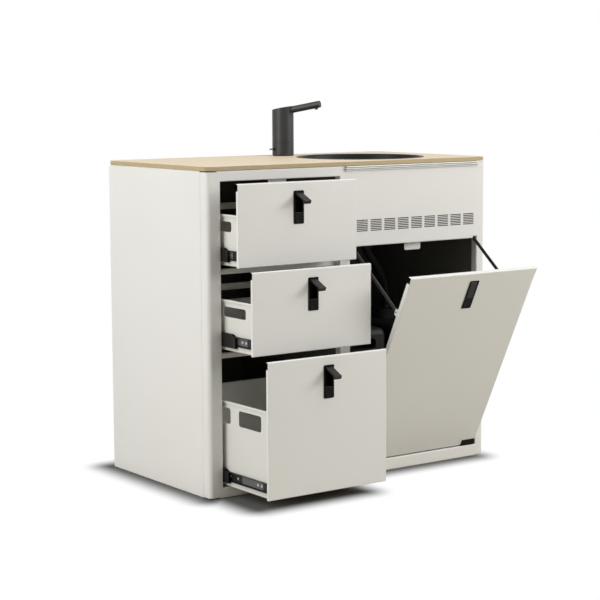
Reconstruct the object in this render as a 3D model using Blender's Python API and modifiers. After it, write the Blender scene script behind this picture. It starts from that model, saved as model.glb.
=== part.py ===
"""Campervan kitchen pod: folded-sheet cabinet with three drawers, a tilt flap, sink and tap.

Metres, +Z up. The front faces -Y and the origin is the centre of the footprint on the floor.
Pieces are drawn from the cabinet's front left corner (x to the right, y to the back, z up),
with drawers and flap shut, and hang from empties that pull them out to the shown pose.
"""
import math

import bmesh
import bpy
from mathutils import Matrix, Vector
from mathutils.geometry import interpolate_bezier

# Cabinet
WIDTH = 0.982
DEPTH = 0.522
HEIGHT = 0.900
WORKTOP_THICKNESS = 0.012
WORKTOP_OVERHANG = 0.0015
WORKTOP_CORNER_RADIUS = 0.020
WORKTOP_EDGE_RADIUS = 0.0012
BODY_SHEET = 0.002
CORNER_RADIUS = 0.012
FOLD_RADIUS = 0.0025
SEAM_SETBACK = 0.0334
BODY_FLANGE = 0.020
SEAM_FLANGE = 0.014
FIT = 0.0003
NEAR = 0.00005
OVERRUN = 0.005

# Windows of the front
LEFT_POST = 0.043
STILE_WIDTH = 0.0357
RIGHT_POST = 0.0325
TOP_RAIL = 0.0285
BOTTOM_RAIL = 0.0285
BAY_WIDTH = 0.4723
FLAP_SILL = 0.0345
VENT_PANEL_HEIGHT = 0.209
VENT_TOP_STRIP = 0.0200
WINDOW_RETURN = 0.022

# Vent slots
VENT_GROUPS = 9
VENT_ROWS = 7
VENT_SIDE_MARGIN = 0.023
VENT_GROUP_SHARE = 0.82
VENT_SLOT_HEIGHT = 0.0027
VENT_SLOT_PITCH = 0.0050
VENT_RISE = 0.0420
VENT_NOTCH_WIDTH = 0.0135
VENT_NOTCH_HEIGHT = 0.0065

# Table rail
RAIL_HEIGHT = 0.0155
RAIL_DEPTH = 0.0085
RAIL_LENGTH = 0.4970
RAIL_RIGHT_INSET = 0.0290
RAIL_DROP = 0.0010
RAIL_GROOVE = 0.0050
RAIL_WALL = 0.0014
RAIL_LIP = 0.0030

# Drawer fronts
FRONT_GAP = 0.003
FRONT_SPLIT = 0.0053
SMALL_FRONT_HEIGHT = 0.2233
FRONT_SHEET = 0.0015
FRONT_FLANGE = 0.0085
FRONT_BEND = 0.0035
FRONT_LIP = 0.018
FRONT_CORNER_OPEN = 0.020
TOP_DRAWER_PULL = 0.0794
MIDDLE_DRAWER_PULL = 0.1446
BOTTOM_DRAWER_PULL = 0.2128

# Drawer boxes
BOX_SHEET = 0.0015
BOX_BOTTOM_RISE = 0.002
SMALL_BOX_DROP = 0.0839
LARGE_BOX_DROP = 0.1313
HEM_GAP = 0.0008
HEM_HEIGHT = 0.008
HAND_SLOT_LENGTH = 0.106
HAND_SLOT_WEB = 0.040
HAND_SLOT_START = 0.045
HAND_SLOT_DROP = 0.0190
SMALL_HAND_SLOT_HEIGHT = 0.0275
LARGE_HAND_SLOT_HEIGHT = 0.0430
HAND_SLOT_RADIUS = 0.007
LATCH_NOTCH_SPACE = 0.0025

# Runners
RUNNER_THICKNESS = 0.0127
RUNNER_BACK_SPACE = 0.0311
RUNNER_MIDDLE_SHORTER = 0.070
RUNNER_SHEET = 0.0012
RUNNER_OUTER_HEIGHT = 0.0457
RUNNER_MIDDLE_HEIGHT = 0.0375
RUNNER_INNER_HEIGHT = 0.0255
RUNNER_RISE = 0.0315
RUNNER_LIP_GAP = 0.0004
RUNNER_OUTER_REACH = 0.0092
RUNNER_MIDDLE_START = 0.0026
RUNNER_MIDDLE_END = 0.0108
RUNNER_INNER_START = 0.0050
RUNNER_INNER_SETBACK = 0.0155
RUNNER_MIDDLE_SETBACK = 0.0095
BOTTOM_MIDDLE_SETBACK = 0.0820
RUNNER_HOLE_RADIUS = 0.0023
RUNNER_HOLE_PLACES = (0.0265, 0.0440, 0.1390, 0.1755)

# Inner walls
LINER_SHEET = 0.002
REAR_LINER_GAP = 0.0160
LINER_TOP_GAP = 0.0120

# Cross rails and strikes
STRIKE_SETBACK = 0.0200
STRIKE_SHEET = 0.0015
STRIKE_WIDTH = 0.060
STRIKE_DROP = 0.0195
STRIKE_RADIUS = 0.005
CROSS_RAIL_HEIGHT = 0.0135
CROSS_RAIL_FLANGE = 0.015
WELD_BITE = 0.001

# Latches
LATCH_DROP = 0.0245
LATCH_HEIGHT = 0.090
LATCH_WIDTH = 0.034
LATCH_RADIUS = 0.0035
LATCH_PROUD = 0.0015
CUP_BORDER = 0.002
CUP_DEPTH = 0.030
CUP_CLEARANCE = 0.0005
RECESS_WIDTH = 0.0250
RECESS_TOP_WALL = 0.0035
RECESS_HEIGHT = 0.0552
RECESS_DEPTH = 0.0180
LEVER_WIDTH = 0.0222
LEVER_LENGTH = 0.0500
LEVER_THICKNESS = 0.0048
LEVER_PIVOT_DROP = 0.0080
LEVER_BARREL_RADIUS = 0.0030
LEVER_PIN_RADIUS = 0.0016
LEVER_PIN_CLEARANCE = 0.0003
LEVER_ANGLE = math.radians(65)
LEVER_HOOK = 0.0035
LEVER_HOOK_DEPTH = 0.0055
BUTTON_HEIGHT = 0.0260
BUTTON_WIDTH = 0.0240
BUTTON_DEPTH = 0.0085
BUTTON_DROP = 0.0600
BUTTON_TRAVEL = 0.0018
BUTTON_CLEARANCE = 0.0003
BUTTON_RADIUS = 0.0025
BOLT_WIDTH = 0.010
BOLT_THICKNESS = 0.0040
BOLT_LENGTH = 0.050
BOLT_TRAVEL = 0.008
BOLT_BEHIND_STRIKE = 0.0010
BOLT_UNDER_STRIKE = 0.0020
BOLT_CLEARANCE = 0.0003
BOLT_BEVEL = 0.0025

# Tilt flap
FLAP_GAP_LEFT = 0.006
FLAP_GAP_RIGHT = 0.003
FLAP_GAP_BOTTOM = 0.0058
FLAP_FLANGE = 0.0125
FLAP_ANGLE = math.radians(25.83)
FLAP_LATCH_OFFSET = 0.005
HINGE_SETBACK = 0.008
HINGE_RISE = 0.0118
HINGE_WIDTH = 0.050
HINGE_HEIGHT = 0.0185
HINGE_DEPTH = 0.0155
HINGE_FACE_SETBACK = 0.0008
HINGE_NOTCH_SIDE = 0.0020
HINGE_NOTCH_TOP = 0.0040
HINGE_PIN_RADIUS = 0.0025
HINGE_PIN_CLEARANCE = 0.0003
HINGE_PIN_LENGTH = 0.0070
HINGE_CHAMFER = 0.0060

# Stays
STAY_HEIGHT = 0.4924
STAY_SETBACK = 0.0100
STAY_PIVOT_Y = 0.0280
STAY_PIVOT_Z = 0.6777
STAY_SHUT_ANGLE = math.radians(24.6)
STAY_WIDTH = 0.0085
STAY_THICKNESS = 0.003
STAY_SIDE_GAP = 0.0009
STAY_PIN_RADIUS = 0.0028
STAY_SLOT_CLEARANCE = 0.0005
STAY_SLOT_STEPS = 12
STAY_PIN_REACH = 0.0030
EAR_WIDTH = 0.018
EAR_HEIGHT = 0.020
EAR_PIN_CLEARANCE = 0.0003

# Sink
SINK_SIDE_INSET = 0.0180
SINK_FRONT_INSET = 0.0335
SINK_RADIUS = 0.189
SINK_RIM = 0.010
SINK_RIM_THICKNESS = 0.0014
SINK_WALL = 0.002
SINK_DEPTH = 0.125
SINK_FLOOR_RADIUS = 0.155
SINK_FILLET = 0.025
SINK_FALL = 0.006
SINK_CLEARANCE = 0.0005
DRAIN_RADIUS = 0.022
WASTE_FLANGE_RADIUS = 0.034
WASTE_FLANGE_THICKNESS = 0.003
WASTE_BORE = 0.008
WASTE_TAIL_RADIUS = 0.016
WASTE_TAIL_LENGTH = 0.045
WASTE_NUT_RADIUS = 0.030
WASTE_NUT_THICKNESS = 0.010

# Tap
TAP_SINK_GAP = 0.0294
TAP_SIDE_INSET = 0.1274
TAP_BACK_INSET = 0.0834
TAP_RADIUS = 0.0325
TAP_BASE_HEIGHT = 0.040
TAP_COLUMN_LEFT_HEIGHT = 0.138
TAP_SHANK_RADIUS = 0.012
TAP_SHANK_LENGTH = 0.045
TAP_NUT_RADIUS = 0.022
TAP_NUT_THICKNESS = 0.010
TAP_EDGE_RADIUS = 0.0015
SPOUT_RADIUS = 0.0112
SPOUT_REACH = 0.122
SPOUT_SLOPE = math.radians(10.5)
NOZZLE_RADIUS = 0.0048
NOZZLE_LENGTH = 0.008
NOZZLE_INSET = 0.012
TAP_LEVER_RADIUS = 0.0021
TAP_LEVER_OUT = 0.011
TAP_LEVER_IN = 0.020
TAP_LEVER_RISE = 0.0205
TAP_LEVER_POCKET_HEIGHT = 0.013

# Canisters and hoses
TANK_DEPTH = 0.300
TANK_HEIGHT = 0.400
TANK_RADIUS = 0.022
TANK_FRONT = 0.100
TANK_SIDE_GAP = 0.018
TANK_MIDDLE_GAP = 0.0443
TANK_GRIP_BORDER = 0.043
TANK_GRIP_HEIGHT = 0.030
TANK_GRIP_DROP = 0.030
TANK_GRIP_FORWARD = 0.040
CAP_RADIUS = 0.046
CAP_HEIGHT = 0.028
CAP_BITE = 0.004
CAP_BACK_SHARE = 0.62
GLAND_RADIUS = 0.014
GLAND_HEIGHT = 0.010
SUPPLY_HOSE_RADIUS = 0.006
WASTE_HOSE_RADIUS = 0.0125
HOSE_LEAD = 0.010
HOSE_RISE = 0.120
HOSE_POINTS = 24

# Facets
SMALL_ROUND_SEGMENTS = 12
ROUND_SEGMENTS = 24
TAP_SEGMENTS = 32
LARGE_ROUND_SEGMENTS = 56
CORNER_SEGMENTS = 5
SMALL_SEGMENTS = 2
SHARP_ANGLE = math.radians(35)
HALF_SHARE = 0.5

# Levels that follow from the sizes above
BODY_TOP = HEIGHT - WORKTOP_THICKNESS - FIT
FLAP_WINDOW_RIGHT = WIDTH - RIGHT_POST
FLAP_WINDOW_LEFT = FLAP_WINDOW_RIGHT - BAY_WIDTH
DRAWER_WINDOW_RIGHT = FLAP_WINDOW_LEFT - STILE_WIDTH
DRAWER_WINDOW_TOP = HEIGHT - WORKTOP_THICKNESS - TOP_RAIL
DRAWER_MIDDLE = (LEFT_POST + DRAWER_WINDOW_RIGHT) * HALF_SHARE
VENT_TOP = HEIGHT - WORKTOP_THICKNESS - VENT_TOP_STRIP
FLAP_WINDOW_TOP = VENT_TOP - VENT_PANEL_HEIGHT
LINER_FRONT = WINDOW_RETURN + FIT
REAR_LINER_Y = DEPTH - REAR_LINER_GAP - LINER_SHEET
LINER_BACK = REAR_LINER_Y - FIT
LINER_TOP = BODY_TOP - LINER_TOP_GAP
LINER_BOTTOM = BODY_SHEET + FIT
FRONT_LEFT = LEFT_POST + FRONT_GAP
FRONT_RIGHT = DRAWER_WINDOW_RIGHT - FRONT_GAP
FRONT_TOPS = (
    DRAWER_WINDOW_TOP - FRONT_GAP,
    DRAWER_WINDOW_TOP - FRONT_GAP - SMALL_FRONT_HEIGHT - FRONT_SPLIT,
    DRAWER_WINDOW_TOP - FRONT_GAP - (SMALL_FRONT_HEIGHT + FRONT_SPLIT) * 2,
)
FRONT_BOTTOMS = (
    FRONT_TOPS[0] - SMALL_FRONT_HEIGHT,
    FRONT_TOPS[1] - SMALL_FRONT_HEIGHT,
    BOTTOM_RAIL + FRONT_GAP,
)
DRAWER_PULLS = (TOP_DRAWER_PULL, MIDDLE_DRAWER_PULL, BOTTOM_DRAWER_PULL)
BOX_DROPS = (SMALL_BOX_DROP, SMALL_BOX_DROP, LARGE_BOX_DROP)
HAND_SLOT_HEIGHTS = (SMALL_HAND_SLOT_HEIGHT, SMALL_HAND_SLOT_HEIGHT, LARGE_HAND_SLOT_HEIGHT)
RUNNER_LEFT_FACE = LEFT_POST + RUNNER_LIP_GAP + FIT - RUNNER_MIDDLE_START
BOX_LEFT = RUNNER_LEFT_FACE + RUNNER_THICKNESS + FIT
BOX_RIGHT = DRAWER_MIDDLE * 2 - BOX_LEFT
BOX_FRONT = FRONT_SHEET + FIT
RUNNER_FRONT = LINER_FRONT + FIT
RUNNER_LENGTH = LINER_BACK - RUNNER_BACK_SPACE - RUNNER_FRONT
RUNNER_MIDDLE_LENGTH = RUNNER_LENGTH - RUNNER_MIDDLE_SHORTER
RUNNER_MIDDLE_SETBACKS = (RUNNER_MIDDLE_SETBACK, RUNNER_MIDDLE_SETBACK, BOTTOM_MIDDLE_SETBACK)
BOX_LENGTH = RUNNER_LENGTH
RUNNER_RIGHT_FACE = DRAWER_MIDDLE * 2 - RUNNER_LEFT_FACE
FLAP_LEFT = FLAP_WINDOW_LEFT + FLAP_GAP_LEFT
FLAP_RIGHT = FLAP_WINDOW_RIGHT - FLAP_GAP_RIGHT
FLAP_BOTTOM = FLAP_SILL + FLAP_GAP_BOTTOM
FLAP_TOP = FLAP_WINDOW_TOP - FRONT_GAP
HINGE_Z = FLAP_SILL + HINGE_RISE
FLAP_LATCH_X = (FLAP_LEFT + FLAP_RIGHT) * HALF_SHARE + FLAP_LATCH_OFFSET
BOLT_FRONT = STRIKE_SETBACK + STRIKE_SHEET + BOLT_BEHIND_STRIKE
SINK_X = FLAP_WINDOW_LEFT + SINK_SIDE_INSET + SINK_RADIUS
SINK_Y = SINK_FRONT_INSET + SINK_RADIUS
TAP_BEARING = math.atan2(DEPTH - TAP_BACK_INSET - SINK_Y, TAP_SIDE_INSET)
TAP_DISTANCE = SINK_RADIUS + TAP_SINK_GAP + TAP_RADIUS
TAP_X = SINK_X - TAP_DISTANCE * math.cos(TAP_BEARING)
TAP_Y = SINK_Y + TAP_DISTANCE * math.sin(TAP_BEARING)
BOWL_BOTTOM = HEIGHT - SINK_DEPTH
TANK_WIDTH = (BAY_WIDTH - TANK_SIDE_GAP * 2 - TANK_MIDDLE_GAP) * HALF_SHARE

COLOURS = {
    "white": ((0.82, 0.81, 0.79), 0.45, 0.0),
    "black": ((0.020, 0.020, 0.018), 0.55, 0.0),
    "wood": ((0.76, 0.66, 0.49), 0.6, 0.0),
    "rail": ((0.72, 0.73, 0.70), 0.4, 0.6),
    "steel": ((0.10, 0.10, 0.10), 0.4, 0.8),
    "tap": ((0.035, 0.035, 0.035), 0.5, 0.1),
    "tank": ((0.06, 0.06, 0.06), 0.6, 0.0),
    "hose": ((0.03, 0.03, 0.03), 0.6, 0.0),
}


def clear_scene():
    """Remove every object of the start-up scene."""
    for old in list(bpy.data.objects):
        bpy.data.objects.remove(old, do_unlink=True)


def make_collection(name):
    collection = bpy.data.collections.new(name)
    bpy.context.scene.collection.children.link(collection)
    return collection


def make_material(name, finish):
    """Principled material of one finish: colour, roughness and metallic value."""
    colour, roughness, metallic = COLOURS[finish]
    material = bpy.data.materials.new(name)
    material.use_nodes = True
    shader = material.node_tree.nodes["Principled BSDF"]
    shader.inputs["Base Color"].default_value = (*colour, 1.0)
    shader.inputs["Roughness"].default_value = roughness
    shader.inputs["Metallic"].default_value = metallic
    return material


def make_empty(name, parent, location=(0, 0, 0), turn_x=0.0, turn_y=0.0):
    """Empty that carries pieces; it sits on the joint's axis of what it moves."""
    empty = bpy.data.objects.new(name, None)
    PARTS.objects.link(empty)
    empty.parent = parent
    empty.location = location
    empty.rotation_euler = (turn_x, turn_y, 0)
    return empty


def add_piece(name, mesh, finish, parent, location=(0, 0, 0)):
    """Object for one sub-part, with its own material."""
    piece = bpy.data.objects.new(name, mesh)
    PARTS.objects.link(piece)
    piece.parent = parent
    piece.location = location
    if not mesh.materials:
        mesh.materials.append(make_material(name, finish))
    return piece


def mesh_from(bm, name):
    """Mesh of a finished bmesh."""
    mesh = bpy.data.meshes.new(name)
    bm.to_mesh(mesh)
    bm.free()
    return mesh


def smooth(mesh):
    """Round faces smooth, corners sharp."""
    mesh.shade_smooth()
    mesh.set_sharp_from_angle(angle=SHARP_ANGLE)


def block(low, high, radius=0.0, axis=2, segments=SMALL_SEGMENTS):
    """Closed block between two corners; the four edges along one axis may be rounded."""
    bm = bmesh.new()
    bmesh.ops.create_cube(bm, size=1)
    size = [h - l for l, h in zip(low, high)]
    centre = [(h + l) * HALF_SHARE for l, h in zip(low, high)]
    bmesh.ops.scale(bm, vec=size, verts=bm.verts)
    bmesh.ops.translate(bm, vec=centre, verts=bm.verts)
    if radius > 0:
        along = [e for e in bm.edges if abs(edge_direction(e)[axis]) > HALF_SHARE]
        bmesh.ops.bevel(bm, geom=along, offset=radius, segments=segments, profile=HALF_SHARE,
                        affect="EDGES")
    return bm


def edge_direction(edge):
    return (edge.verts[1].co - edge.verts[0].co).normalized()


def soft_block(low, high, radius, segments=SMALL_SEGMENTS):
    """Closed block with all its edges rounded."""
    bm = block(low, high)
    bmesh.ops.bevel(bm, geom=list(bm.edges), offset=radius, segments=segments,
                    profile=HALF_SHARE, affect="EDGES")
    return bm


def rod(centre, radius, length, axis, segments=ROUND_SEGMENTS):
    """Closed cylinder along X, Y or Z (axis 0, 1 or 2)."""
    bm = bmesh.new()
    bmesh.ops.create_cone(bm, cap_ends=True, segments=segments, radius1=radius,
                          radius2=radius, depth=length)
    quarter = math.radians(90)
    turn = {0: Matrix.Rotation(quarter, 3, "Y"), 1: Matrix.Rotation(-quarter, 3, "X"),
            2: Matrix.Identity(3)}[axis]
    bmesh.ops.rotate(bm, cent=(0, 0, 0), matrix=turn, verts=bm.verts)
    bmesh.ops.translate(bm, vec=centre, verts=bm.verts)
    return bm


def merged(*shapes):
    """One bmesh that holds several closed shapes, used as a single cutter."""
    whole = bmesh.new()
    for shape in shapes:
        mesh = mesh_from(shape, "cutter")
        whole.from_mesh(mesh)
        bpy.data.meshes.remove(mesh)
    return whole


def boolean(piece, shape, operation):
    """Cut a shape from a piece, or join it on; the shape stays as a hidden wire cutter."""
    cutter = bpy.data.objects.new(piece.name + "_" + operation.lower(),
                                  mesh_from(shape, piece.name + "_cutter"))
    CUTTERS.objects.link(cutter)
    cutter.parent = piece
    cutter.hide_render = True
    cutter.display_type = "WIRE"
    step = piece.modifiers.new(operation.lower(), "BOOLEAN")
    step.operation = operation
    step.solver = "EXACT"
    step.object = cutter


def cut(piece, shape):
    boolean(piece, shape, "DIFFERENCE")


def join(piece, shape):
    boolean(piece, shape, "UNION")


def solidify(piece, thickness):
    """Give a sheet its thickness on the side away from its faces' normals."""
    step = piece.modifiers.new("thickness", "SOLIDIFY")
    step.solidify_mode = "NON_MANIFOLD"
    step.nonmanifold_thickness_mode = "CONSTRAINTS"
    step.thickness = thickness
    step.offset = -1


def baked(piece):
    """Mesh of a piece with its modifiers applied, for copies that share it; the piece goes."""
    bpy.context.view_layer.update()
    graph = bpy.context.evaluated_depsgraph_get()
    mesh = bpy.data.meshes.new_from_object(piece.evaluated_get(graph), depsgraph=graph)
    mesh.name = piece.name
    smooth(mesh)
    for child in list(piece.children):
        bpy.data.objects.remove(child, do_unlink=True)
    bpy.data.objects.remove(piece, do_unlink=True)
    return mesh


def flat_sheet(left, right, bottom, top, xs=(), zs=()):
    """Upright sheet facing -Y at y = 0, sliced at the given places."""
    bm = bmesh.new()
    bmesh.ops.create_grid(bm, x_segments=1, y_segments=1, size=HALF_SHARE)
    bmesh.ops.scale(bm, vec=(right - left, top - bottom, 0), verts=bm.verts)
    bmesh.ops.rotate(bm, cent=(0, 0, 0), matrix=Matrix.Rotation(math.radians(90), 3, "X"),
                     verts=bm.verts)
    middle = ((left + right) * HALF_SHARE, 0, (bottom + top) * HALF_SHARE)
    bmesh.ops.translate(bm, vec=middle, verts=bm.verts)
    for x in xs:
        slice_sheet(bm, (x, 0, 0), (1, 0, 0))
    for z in zs:
        slice_sheet(bm, (0, 0, z), (0, 0, 1))
    return bm


def slice_sheet(bm, point, normal):
    bmesh.ops.bisect_plane(bm, geom=list(bm.verts) + list(bm.edges) + list(bm.faces),
                           plane_co=point, plane_no=normal, clear_inner=False,
                           clear_outer=False)


def open_window(bm, left, right, bottom, top):
    """Take the sheet away between four lines."""
    inside = [f for f in bm.faces
              if left < f.calc_center_median().x < right
              and bottom < f.calc_center_median().z < top]
    bmesh.ops.delete(bm, geom=inside, context="FACES")


def fold(bm, chosen, way):
    """Fold a flange from the free edges whose middle passes the test."""
    edges = [e for e in bm.edges
             if e.is_boundary and chosen((e.verts[0].co + e.verts[1].co) * HALF_SHARE)]
    grown = bmesh.ops.extrude_edge_only(bm, edges=edges)
    verts = [v for v in grown["geom"] if isinstance(v, bmesh.types.BMVert)]
    bmesh.ops.translate(bm, vec=way, verts=verts)


def near(value, target):
    return abs(value - target) < NEAR


def round_folds(bm, chosen, radius, segments):
    """Bend radius on the fold lines whose middle passes the test."""
    folds = [e for e in bm.edges
             if len(e.link_faces) == 2 and e.calc_face_angle() > math.radians(30)
             and chosen((e.verts[0].co + e.verts[1].co) * HALF_SHARE)]
    bmesh.ops.bevel(bm, geom=folds, offset=radius, segments=segments, profile=HALF_SHARE,
                    affect="EDGES")


def upright_sheet(plan, bottom, top):
    """Sheet standing on a line drawn in plan; it faces to the right of the line."""
    bm = bmesh.new()
    verts = [bm.verts.new((x, y, bottom)) for x, y in plan]
    edges = [bm.edges.new(pair) for pair in zip(verts, verts[1:])]
    grown = bmesh.ops.extrude_edge_only(bm, edges=edges)
    lifted = [v for v in grown["geom"] if isinstance(v, bmesh.types.BMVert)]
    bmesh.ops.translate(bm, vec=(0, 0, top - bottom), verts=lifted)
    along = verts[1].co - verts[0].co
    first = edges[0].link_faces[0]
    first.normal_update()
    if first.normal.dot(Vector((along.y, -along.x, 0))) < 0:
        bmesh.ops.reverse_faces(bm, faces=bm.faces)
    return bm


def extruded(outline, front, length):
    """Closed profile drawn in x and z, extruded along +Y from front."""
    bm = bmesh.new()
    verts = [bm.verts.new((x, front, z)) for x, z in outline]
    face = bm.faces.new(verts)
    grown = bmesh.ops.extrude_face_region(bm, geom=[face])
    moved = [v for v in grown["geom"] if isinstance(v, bmesh.types.BMVert)]
    bmesh.ops.translate(bm, vec=(0, length, 0), verts=moved)
    bmesh.ops.recalc_face_normals(bm, faces=bm.faces)
    return bm


def side_plate(outline, left, thickness):
    """Closed outline drawn in y and z, extruded along +X from left."""
    bm = bmesh.new()
    verts = [bm.verts.new((left, y, z)) for y, z in outline]
    face = bm.faces.new(verts)
    grown = bmesh.ops.extrude_face_region(bm, geom=[face])
    moved = [v for v in grown["geom"] if isinstance(v, bmesh.types.BMVert)]
    bmesh.ops.translate(bm, vec=(thickness, 0, 0), verts=moved)
    bmesh.ops.recalc_face_normals(bm, faces=bm.faces)
    return bm


def turned_piece(name, profile, finish, parent, location, segments=ROUND_SEGMENTS):
    """Piece turned about Z from a closed profile of (radius, height) points."""
    bm = bmesh.new()
    verts = [bm.verts.new((r, 0, z)) for r, z in profile]
    for start, end in zip(verts, verts[1:] + verts[:1]):
        bm.edges.new((start, end))
    blank = add_piece(name, mesh_from(bm, name), finish, None)
    turn = blank.modifiers.new("turn", "SCREW")
    turn.axis = "Z"
    turn.steps = segments
    turn.render_steps = segments
    turn.use_merge_vertices = True
    turn.merge_threshold = 0.0001
    return add_piece(name, baked(blank), finish, parent, location)


def tube(name, points, radius, finish, parent):
    """Hose along a list of points: a curve with a round bevel and filled caps."""
    curve = bpy.data.curves.new(name, "CURVE")
    curve.dimensions = "3D"
    curve.bevel_depth = radius
    curve.bevel_resolution = 2
    curve.use_fill_caps = True
    spline = curve.splines.new("POLY")
    spline.points.add(len(points) - 1)
    for place, point in zip(spline.points, points):
        place.co = (*point, 1.0)
    piece = bpy.data.objects.new(name, curve)
    PARTS.objects.link(piece)
    piece.parent = parent
    curve.materials.append(make_material(name, finish))
    return piece


def build_face_frame():
    """Front sheet with both windows, wrapped round the corners, with cross rails and strikes."""
    left_end = CORNER_RADIUS + BODY_FLANGE
    right_end = WIDTH - left_end
    xs = (left_end, LEFT_POST, DRAWER_WINDOW_RIGHT, FLAP_WINDOW_LEFT, FLAP_WINDOW_RIGHT,
          right_end)
    zs = (BOTTOM_RAIL, FLAP_SILL, VENT_TOP, DRAWER_WINDOW_TOP)
    bm = flat_sheet(0, WIDTH, 0, BODY_TOP, xs, zs)
    open_window(bm, LEFT_POST, DRAWER_WINDOW_RIGHT, BOTTOM_RAIL, DRAWER_WINDOW_TOP)
    open_window(bm, FLAP_WINDOW_LEFT, FLAP_WINDOW_RIGHT, FLAP_SILL, VENT_TOP)
    fold(bm, lambda p: 0 < p.x < WIDTH and 0 < p.z < BODY_TOP, (0, WINDOW_RETURN, 0))
    fold(bm, lambda p: near(p.y, 0) and left_end < p.x < right_end
         and (near(p.z, 0) or near(p.z, BODY_TOP)), (0, BODY_FLANGE, 0))
    fold(bm, lambda p: near(p.y, 0) and near(p.x, 0), (0, SEAM_SETBACK, 0))
    fold(bm, lambda p: near(p.y, 0) and near(p.x, WIDTH), (0, SEAM_SETBACK, 0))
    fold(bm, lambda p: near(p.y, SEAM_SETBACK) and near(p.x, 0), (SEAM_FLANGE, 0, 0))
    fold(bm, lambda p: near(p.y, SEAM_SETBACK) and near(p.x, WIDTH), (-SEAM_FLANGE, 0, 0))
    round_folds(bm, lambda p: near(p.y, 0) and (near(p.x, 0) or near(p.x, WIDTH)),
                CORNER_RADIUS, CORNER_SEGMENTS)
    frame = add_piece("face_frame", mesh_from(bm, "face_frame"), "white", CABINET)
    solidify(frame, BODY_SHEET)
    for front_top in FRONT_TOPS[1:]:
        join(frame, cross_rail(front_top - STRIKE_DROP))
    join(frame, strike_tab(DRAWER_MIDDLE, DRAWER_WINDOW_TOP, FRONT_TOPS[0] - STRIKE_DROP))


def cross_rail(bottom):
    """Angle across the drawer window, set back so that a drawer front shuts before it."""
    back = STRIKE_SETBACK + CROSS_RAIL_FLANGE
    web_back = STRIKE_SETBACK + STRIKE_SHEET
    top = bottom + CROSS_RAIL_HEIGHT
    left = LEFT_POST - WELD_BITE
    outline = ((STRIKE_SETBACK, bottom), (web_back, bottom), (web_back, top - STRIKE_SHEET),
               (back, top - STRIKE_SHEET), (back, top), (STRIKE_SETBACK, top))
    return side_plate(outline, left, DRAWER_WINDOW_RIGHT + WELD_BITE - left)


def strike_tab(middle, window_top, bottom):
    """Tab with rounded lower corners that hangs from a window's top return."""
    half = STRIKE_WIDTH * HALF_SHARE
    bm = block((middle - half, STRIKE_SETBACK, bottom),
               (middle + half, STRIKE_SETBACK + STRIKE_SHEET, window_top + WELD_BITE))
    lower = [e for e in bm.edges
             if abs(edge_direction(e).y) > HALF_SHARE and near(e.verts[0].co.z, bottom)]
    bmesh.ops.bevel(bm, geom=lower, offset=STRIKE_RADIUS, segments=SMALL_SEGMENTS + 1,
                    profile=HALF_SHARE, affect="EDGES")
    return bm


def build_vent_panel():
    """Panel above the flap with the slots, the flap's strike and corner notches for the stays."""
    left = FLAP_WINDOW_LEFT + FIT
    right = FLAP_WINDOW_RIGHT - FIT
    bottom = FLAP_WINDOW_TOP
    top = VENT_TOP - FIT
    notch_top = bottom + VENT_NOTCH_HEIGHT
    notch_left = left + VENT_NOTCH_WIDTH
    notch_right = right - VENT_NOTCH_WIDTH
    bm = flat_sheet(left, right, bottom, top, (notch_left, notch_right), (notch_top,))
    open_window(bm, left, notch_left, bottom, notch_top)
    open_window(bm, notch_right, right, bottom, notch_top)
    fold(bm, lambda p: near(p.z, bottom) or near(p.z, top), (0, WINDOW_RETURN, 0))
    round_folds(bm, lambda p: near(p.z, bottom), FOLD_RADIUS, SMALL_SEGMENTS)
    panel = add_piece("vent_panel", mesh_from(bm, "vent_panel"), "white", CABINET)
    solidify(panel, BODY_SHEET)
    join(panel, strike_tab(FLAP_LATCH_X, FLAP_WINDOW_TOP, FLAP_TOP - STRIKE_DROP))
    cut(panel, merged(*vent_slots(left, right)))


def vent_slots(left, right):
    """Blocks for nine groups of seven slots, spread between the side margins."""
    span = right - left - VENT_SIDE_MARGIN - VENT_SIDE_MARGIN * HALF_SHARE
    pitch = span / (VENT_GROUPS - 1 + VENT_GROUP_SHARE)
    slots = []
    for group in range(VENT_GROUPS):
        start = left + VENT_SIDE_MARGIN + group * pitch
        for row in range(VENT_ROWS):
            low = FLAP_WINDOW_TOP + VENT_RISE + row * VENT_SLOT_PITCH
            slots.append(block((start, -OVERRUN, low),
                               (start + pitch * VENT_GROUP_SHARE, BODY_SHEET + OVERRUN,
                                low + VENT_SLOT_HEIGHT)))
    return slots


def pan(low, high, open_face, fold_radius=FOLD_RADIUS):
    """Open tray: a block without one face, with bend radii along its folds."""
    bm = block(low, high)
    axis, sign = open_face
    lid = [f for f in bm.faces if f.normal[axis] * sign > HALF_SHARE]
    bmesh.ops.delete(bm, geom=lid, context="FACES_ONLY")
    face_place = low[axis] if sign > 0 else high[axis]
    folds = [e for e in bm.edges
             if all(near(v.co[axis], face_place) for v in e.verts)]
    bmesh.ops.bevel(bm, geom=folds, offset=fold_radius, segments=SMALL_SEGMENTS,
                    profile=HALF_SHARE, affect="EDGES")
    return bm


def build_side_panels():
    """Outer side sheets with flanges folded inwards all round."""
    front = SEAM_SETBACK + FIT
    shells = {"side_panel_left": (0, BODY_FLANGE, 1),
              "side_panel_right": (WIDTH - BODY_FLANGE, WIDTH, -1)}
    for name, (low_x, high_x, sign) in shells.items():
        bm = pan((low_x, front, 0), (high_x, DEPTH, BODY_TOP), (0, sign))
        panel = add_piece(name, mesh_from(bm, name), "white", CABINET)
        solidify(panel, BODY_SHEET)


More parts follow.
